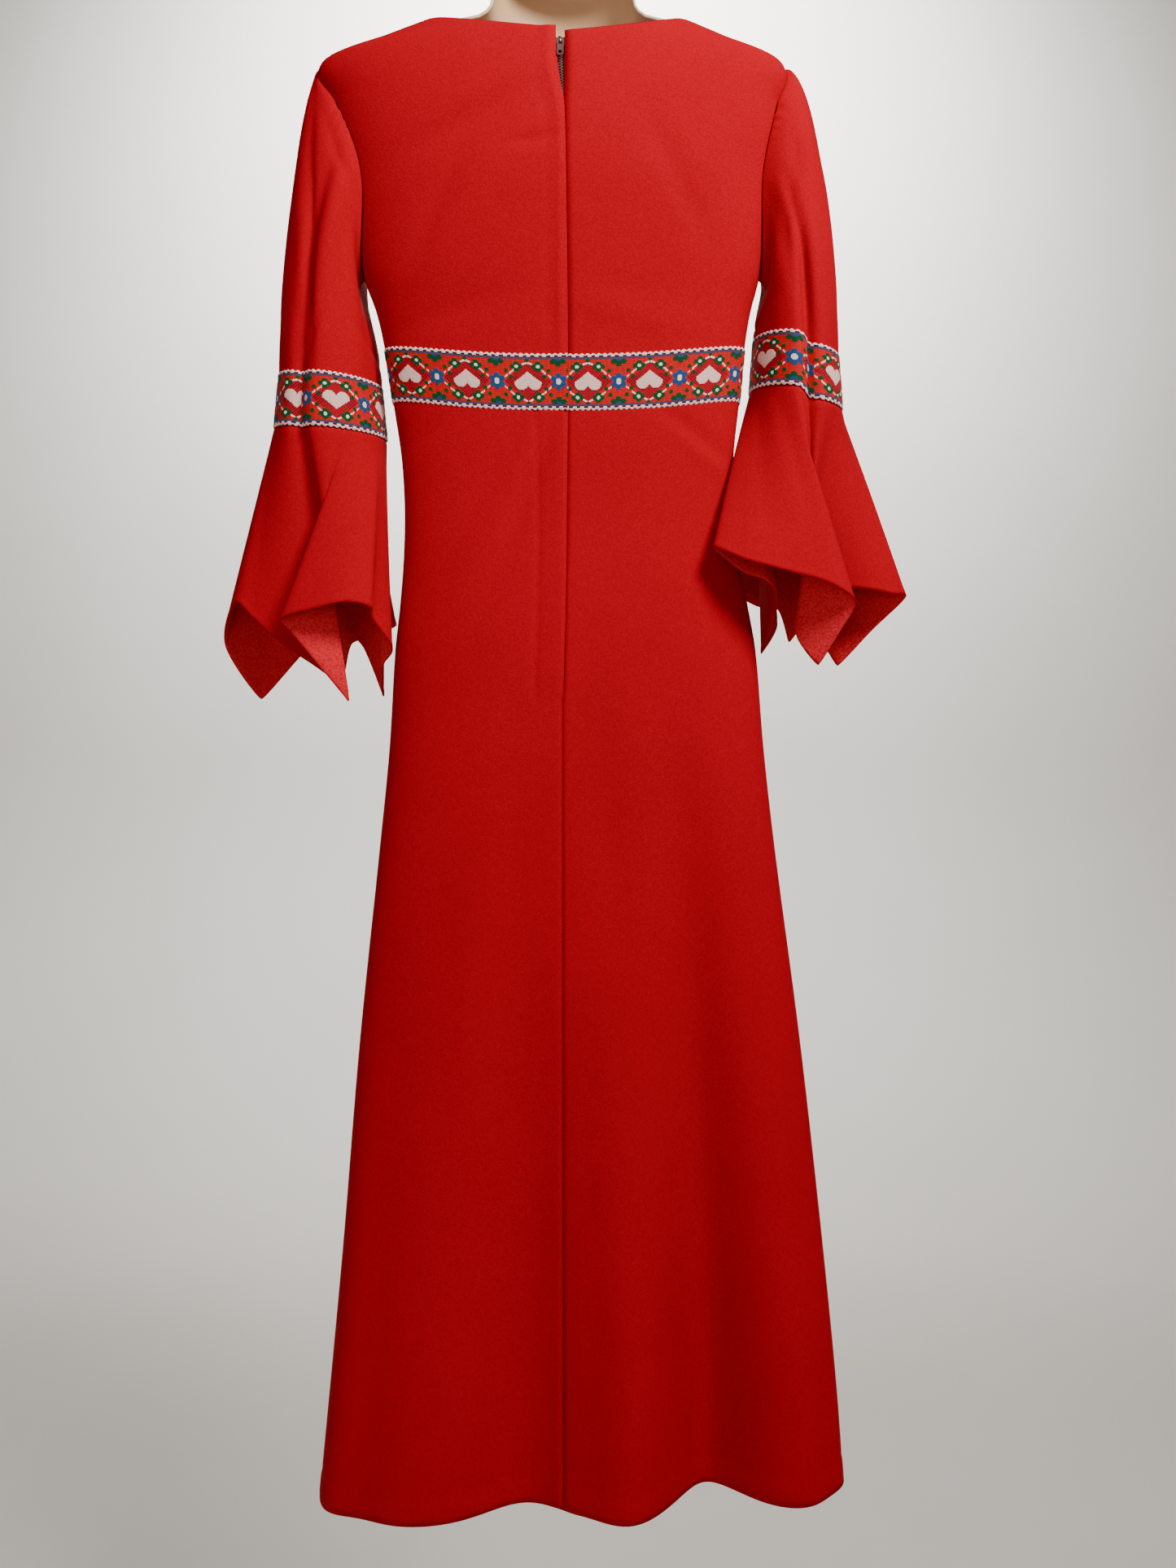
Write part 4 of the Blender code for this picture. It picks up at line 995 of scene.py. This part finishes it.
def ribbon_cloth():
    """Satin yarns over a ribbed ground. The yarns' colours come from the weave in the mesh."""
    made, tree, shader, where = new_material("woven ribbon", Roughness=0.75, Sheen_Weight=0.03,
                                             Specular_IOR_Level=0.12)
    yarn = add_node(tree, "Attribute", {"attribute_name": "yarn"}).outputs["Color"]
    along = add_node(tree, "TexCoord").outputs["UV"]
    ribs = add_node(tree, "TexWave", {"bands_direction": "Y"}, Vector=along, Scale=310.0, Distortion=1.2,
                    Detail=2.0).outputs["Fac"]
    floats = add_node(tree, "TexWave", {"bands_direction": "X"}, Vector=along, Scale=240.0,
                      Distortion=2.0, Detail=2.0).outputs["Fac"]
    weave = maths(tree, "MULTIPLY", ribs, floats)
    fuzz = add_node(tree, "TexNoise", Vector=where, Scale=500.0, Detail=3.0).outputs["Fac"]
    tone = ramp(tree, maths(tree, "ADD", maths(tree, "MULTIPLY", weave, 0.35), fuzz),
                (0.3, (0.82, 0.82, 0.82)), (0.8, (1.0, 1.0, 1.0)))
    shaded = add_node(tree, "Mix", {"data_type": "RGBA", "blend_type": "MULTIPLY"}, i0=1.0,
                      i6=yarn, i7=tone)
    tree.links.new(shaded.outputs[2], shader.inputs["Base Color"])
    raised = add_node(tree, "Bump", Height=weave, Strength=0.5, Distance=0.0003)
    tree.links.new(raised.outputs["Normal"], shader.inputs["Normal"])
    return made


woven_ribbon = ribbon_cloth()


def even_steps(line, count):
    """Shares along a line of points that are evenly spaced on its length, and the whole length."""
    lengths = [0.0]
    for before, after in zip(line, line[1:]):
        lengths.append(lengths[-1] + (after - before).length)
    shares = []
    k = 0
    for step in range(count + 1):
        goal = lengths[-1] * step / count
        while k < len(lengths) - 2 and lengths[k + 1] < goal:
            k += 1
        shares.append((k + (goal - lengths[k]) / (lengths[k + 1] - lengths[k])) / (len(line) - 1))
    return shares, lengths[-1]


def ribbon_band(name, surface, start, end, repeats_at, point_up, inside_out, closed=False):
    """A band on a surface of angle and distance up from the band's middle. repeats_at gives how many
    repeats past the middle of a heart a share of the band's length lies."""
    line = [surface(across(start, end, k / LINE_STEPS), 0.0)[0] for k in range(LINE_STEPS + 1)]
    count = round(sum((b - a).length for a, b in zip(line, line[1:])) / THREAD)
    shares, length = even_steps(line, count)
    rows = round(RIBBON_WIDE / THREAD)

    def in_repeat(u):
        return (repeats_at(u, length) + 0.5) % 1.0 * REPEAT - HALF_REPEAT

    def spot(u, v):
        up = (v - 0.5) * RIBBON_WIDE
        loops = abs(math.sin(math.pi * (in_repeat(u) + HALF_REPEAT) * EDGE_LOOPS / REPEAT)) - 0.45
        reach = LOOP_REACH * loops * math.copysign(1.0, up) * bump(RIBBON_WIDE / 2 - abs(up), 1.0)
        point, normal = surface(across(start, end, shares[round(u * count)]), up + reach)
        raised = RAISED.get(yarn_at(in_repeat(u), up, point_up), 0.0)
        tucked = 0.9 * bump(RIBBON_WIDE / 2 - abs(up), 0.5)
        return point + normal * (RIBBON_OUT + raised - tucked)

    band = shell(name + "_weave", spot, count, rows, inside_out, None, closed)
    colours = band.data.color_attributes.new("yarn", "FLOAT_COLOR", "CORNER")
    map_layer = band.data.uv_layers["UVMap"].data
    for polygon in band.data.polygons:
        loops = list(polygon.loop_indices)
        shares_along = [map_layer[loop].uv.x for loop in loops]
        u = (min(shares_along) + max(shares_along)) / 2
        v = sum(map_layer[loop].uv.y for loop in loops) / len(loops)
        colour = (*YARNS[yarn_at(in_repeat(u), (v - 0.5) * RIBBON_WIDE, point_up)], 1.0)
        for loop in loops:
            colours.data[loop].color = colour
    for entry in map_layer:
        entry.uv = (entry.uv.x * length * MM, entry.uv.y * RIBBON_WIDE * MM)
    band.data.materials.append(woven_ribbon)
    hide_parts(name)
    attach(band, "dress")


def waist_surface(angle, up):
    height = waist_height(angle) + up
    point = body_point(angle, height)
    normal = normal_of(body_point, angle, height)
    from_lap = point.x - between(OPENING, LAP_EDGE, height)
    raised = (LAP_PROUD + 0.4) * bump(from_lap, 1.7 * LAP_SPREAD) if angle < 90 else 0.0
    return point + normal * (crease_depth(point) + raised), normal


def sleeve_end_surface(name):
    cuff = CUFFS[name]

    def surface(angle, up):
        height = cuff[3] - RIBBON_WIDE / 2 + up
        return cuff_point(cuff, angle, height), cuff_normal(cuff, angle, height)

    return surface


waist_start = back_line(LAP_EDGE)(WAIST_BACK)
waist_end = 360 + back_line(UNDER_EDGE)(WAIST_BACK)
# Where the hearts start and end beside the zip in mm. A pleat in each sleeve hides some of its pattern.
FIRST_HEART, LAST_HEART, WAIST_REPEATS = 34.0, 17.3, 13
SLEEVE_FIRST_HEART = 62.0
# length round the sleeve in m, repeats, where the pleat lies, repeats moved on before it and after it
SLEEVE_BANDS = {"left": (0.31, 6, 0.311, 0.0, 0.24), "right": (0.29, 5, 0.261, 0.5, 0.21)}


def waist_repeats(u, length):
    return (u * length - FIRST_HEART) / (length - FIRST_HEART - LAST_HEART) * WAIST_REPEATS


ribbon_band("waist_ribbon", waist_surface, waist_start, waist_end,
            waist_repeats, True, True)
for name, (wide, repeats, pleat, before, after) in SLEEVE_BANDS.items():

    def sleeve_repeats(u, length, repeats=repeats, pleat=pleat, before=before, after=after):
        return (u - SLEEVE_FIRST_HEART / length) * repeats + (before if u < pleat else after)

    ribbon_band("sleeve_ribbon_" + name, sleeve_end_surface(name), 270, 630,
                sleeve_repeats,
                False, name == "left", True)

# The zip
# A metal zip under the lap: two rows of plated teeth on a red woven tape, a slider near the top, and
# a long pull tab that hangs from it and swings.
TOOTH_PITCH = 2.5
TOOTH_LONG, TOOTH_TALL, TOOTH_THICK = 2.3, 0.85, 1.0
TOOTH_ASIDE, TOOTH_BEVEL = 0.55, 0.2
TEETH_FOOT = ZIP_FOOT + 4


def tape_cloth():
    """Red twill tape."""
    made, tree, shader, where = new_material("zip tape", Roughness=0.8, Sheen_Weight=0.15)
    diagonal = (0.0, math.radians(45), 0.0)
    turned = add_node(tree, "Mapping", Vector=where, Rotation=diagonal).outputs["Vector"]
    twill = add_node(tree, "TexWave", {"bands_direction": "X"}, Vector=turned, Scale=260.0,
                     Distortion=0.8)
    red = ramp(tree, twill.outputs["Fac"], (0.2, (0.12, 0.0, 0.006)), (0.8, (0.24, 0.0, 0.010)))
    tree.links.new(red, shader.inputs["Base Color"])
    raised = add_node(tree, "Bump", Height=twill.outputs["Fac"], Strength=0.4, Distance=0.0002)
    tree.links.new(raised.outputs["Normal"], shader.inputs["Normal"])
    return made


def make_teeth():
    """Each tooth is a small bevelled bar, set by turns from the left and from the right."""
    bm = bmesh.new()
    count = int((ZIP_HEAD - TEETH_FOOT) / TOOTH_PITCH)
    for k in range(2 * count):
        side = 1 if k % 2 else -1
        height = TEETH_FOOT + 1 + k * TOOTH_PITCH / 2
        middle = (between(OPENING, LAP_EDGE, height) + between(OPENING, UNDER_EDGE, height)) / 2
        angle = angle_at(middle, height)
        inward = CLOTH / 2 + SEAM_GAP + TOOTH_THICK / 2
        centre = body_point(angle, height) - normal_of(body_point, angle, height) * inward
        made = bmesh.ops.create_cube(bm, size=1)["verts"]
        bmesh.ops.scale(bm, vec=Vector((TOOTH_LONG, TOOTH_THICK, TOOTH_TALL)) * MM, verts=made)
        bmesh.ops.translate(bm, vec=place(centre + Vector((side * TOOTH_ASIDE, 0, 0))), verts=made)
    bmesh.ops.bevel(bm, geom=bm.edges, offset=TOOTH_BEVEL * MM, segments=1, affect="EDGES",
                    profile=0.5, material=-1)
    mesh = bpy.data.meshes.new("zip_teeth")
    bm.to_mesh(mesh)
    bm.free()
    teeth = bpy.data.objects.new("zip_teeth", mesh)
    bpy.context.scene.collection.objects.link(teeth)
    return teeth


# Painted reflection: the metal's colour is tinted dark red for the red cloth that it mirrors.
zip_metal_with_painted_reflection = steel("zip metal with painted reflection", (0.20, 0.09, 0.08), (0.52, 0.33, 0.31))
teeth = make_teeth()
teeth.data.materials.append(zip_metal_with_painted_reflection)
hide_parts("zip_chain")
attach(teeth, "dress")
finish_node("zip_tape", tape_cloth())
finish_node("zip_slider", zip_metal_with_painted_reflection)
finish_node("zip_pull_tab", zip_metal_with_painted_reflection)

# The studio
# A pale floor that curves up into a far backdrop, under an even pale sky. One soft light stands at
# the upper right of the photograph, a weak one behind the camera, and one lights the backdrop.
FLOOR_DOWN, FLOOR_NEAR = -2.1, 6.0
BACKDROP_FAR, BACKDROP_TALL, BACKDROP_WIDE = -3.6, 7.0, 16.0
SWEEP_RADIUS = 1.4
FLOOR_SHARE, BEND_SHARE = 0.4, 0.7


def sweep():
    """One sheet for floor and backdrop, with a round bend between them."""
    bm = bmesh.new()
    made = bmesh.ops.create_grid(bm, x_segments=1, y_segments=40, size=0.5)["verts"]
    for vert in made:
        share = vert.co.y + 0.5
        if share < FLOOR_SHARE:
            y, z = across(FLOOR_NEAR, BACKDROP_FAR + SWEEP_RADIUS, share / FLOOR_SHARE), 0.0
        elif share < BEND_SHARE:
            turn = math.radians(90) * (share - FLOOR_SHARE) / (BEND_SHARE - FLOOR_SHARE)
            y = BACKDROP_FAR + SWEEP_RADIUS - SWEEP_RADIUS * math.sin(turn)
            z = SWEEP_RADIUS - SWEEP_RADIUS * math.cos(turn)
        else:
            rise = (share - BEND_SHARE) / (1 - BEND_SHARE)
            y, z = BACKDROP_FAR, across(SWEEP_RADIUS, BACKDROP_TALL, rise)
        vert.co = (vert.co.x * BACKDROP_WIDE, y, z + FLOOR_DOWN)
    mesh = bpy.data.meshes.new("sweep")
    bm.to_mesh(mesh)
    bm.free()
    mesh.shade_smooth()
    floor = bpy.data.objects.new("sweep", mesh)
    bpy.context.scene.collection.objects.link(floor)
    made, tree, shader, where = new_material("pale wall", Roughness=0.9)
    tone = add_node(tree, "TexNoise", Vector=where, Scale=2.0, Detail=2.0).outputs["Fac"]
    tree.links.new(ramp(tree, tone, (0.3, (0.78, 0.76, 0.73)), (0.7, (0.81, 0.79, 0.76))),
                   shader.inputs["Base Color"])
    floor.data.materials.append(made)


def soft_light(name, spot, target, size, spread, power, colour):
    lamp = bpy.data.lights.new(name, "AREA")
    lamp.shape = "DISK"
    lamp.size = size
    lamp.spread = math.radians(spread)
    lamp.energy = power
    lamp.color = colour
    thing = bpy.data.objects.new(name, lamp)
    thing.visible_camera = False
    thing.location = spot
    thing.rotation_euler = (Vector(target) - Vector(spot)).to_track_quat("-Z", "Y").to_euler()
    bpy.context.scene.collection.objects.link(thing)


sweep()
soft_light("window", (-1.0, 1.3, 0.8), (0, 0, -0.05), 0.7, 110, 26.0, (1.0, 0.96, 0.92))
soft_light("fill", (0.7, 2.4, -0.7), (0.1, 0, -0.5), 1.6, 100, 5.5, (1.0, 0.98, 0.96))
soft_light("wall", (0.0, -1.9, 2.6), (0.0, -3.6, 1.5), 2.4, 120, 215.0, (1.0, 0.99, 0.94))
sky = bpy.data.worlds.new("even sky")
sky.use_nodes = True
sky.node_tree.nodes["Background"].inputs["Color"].default_value = (1.0, 0.97, 0.94, 1.0)
sky.node_tree.nodes["Background"].inputs["Strength"].default_value = 0.24
bpy.context.scene.world = sky
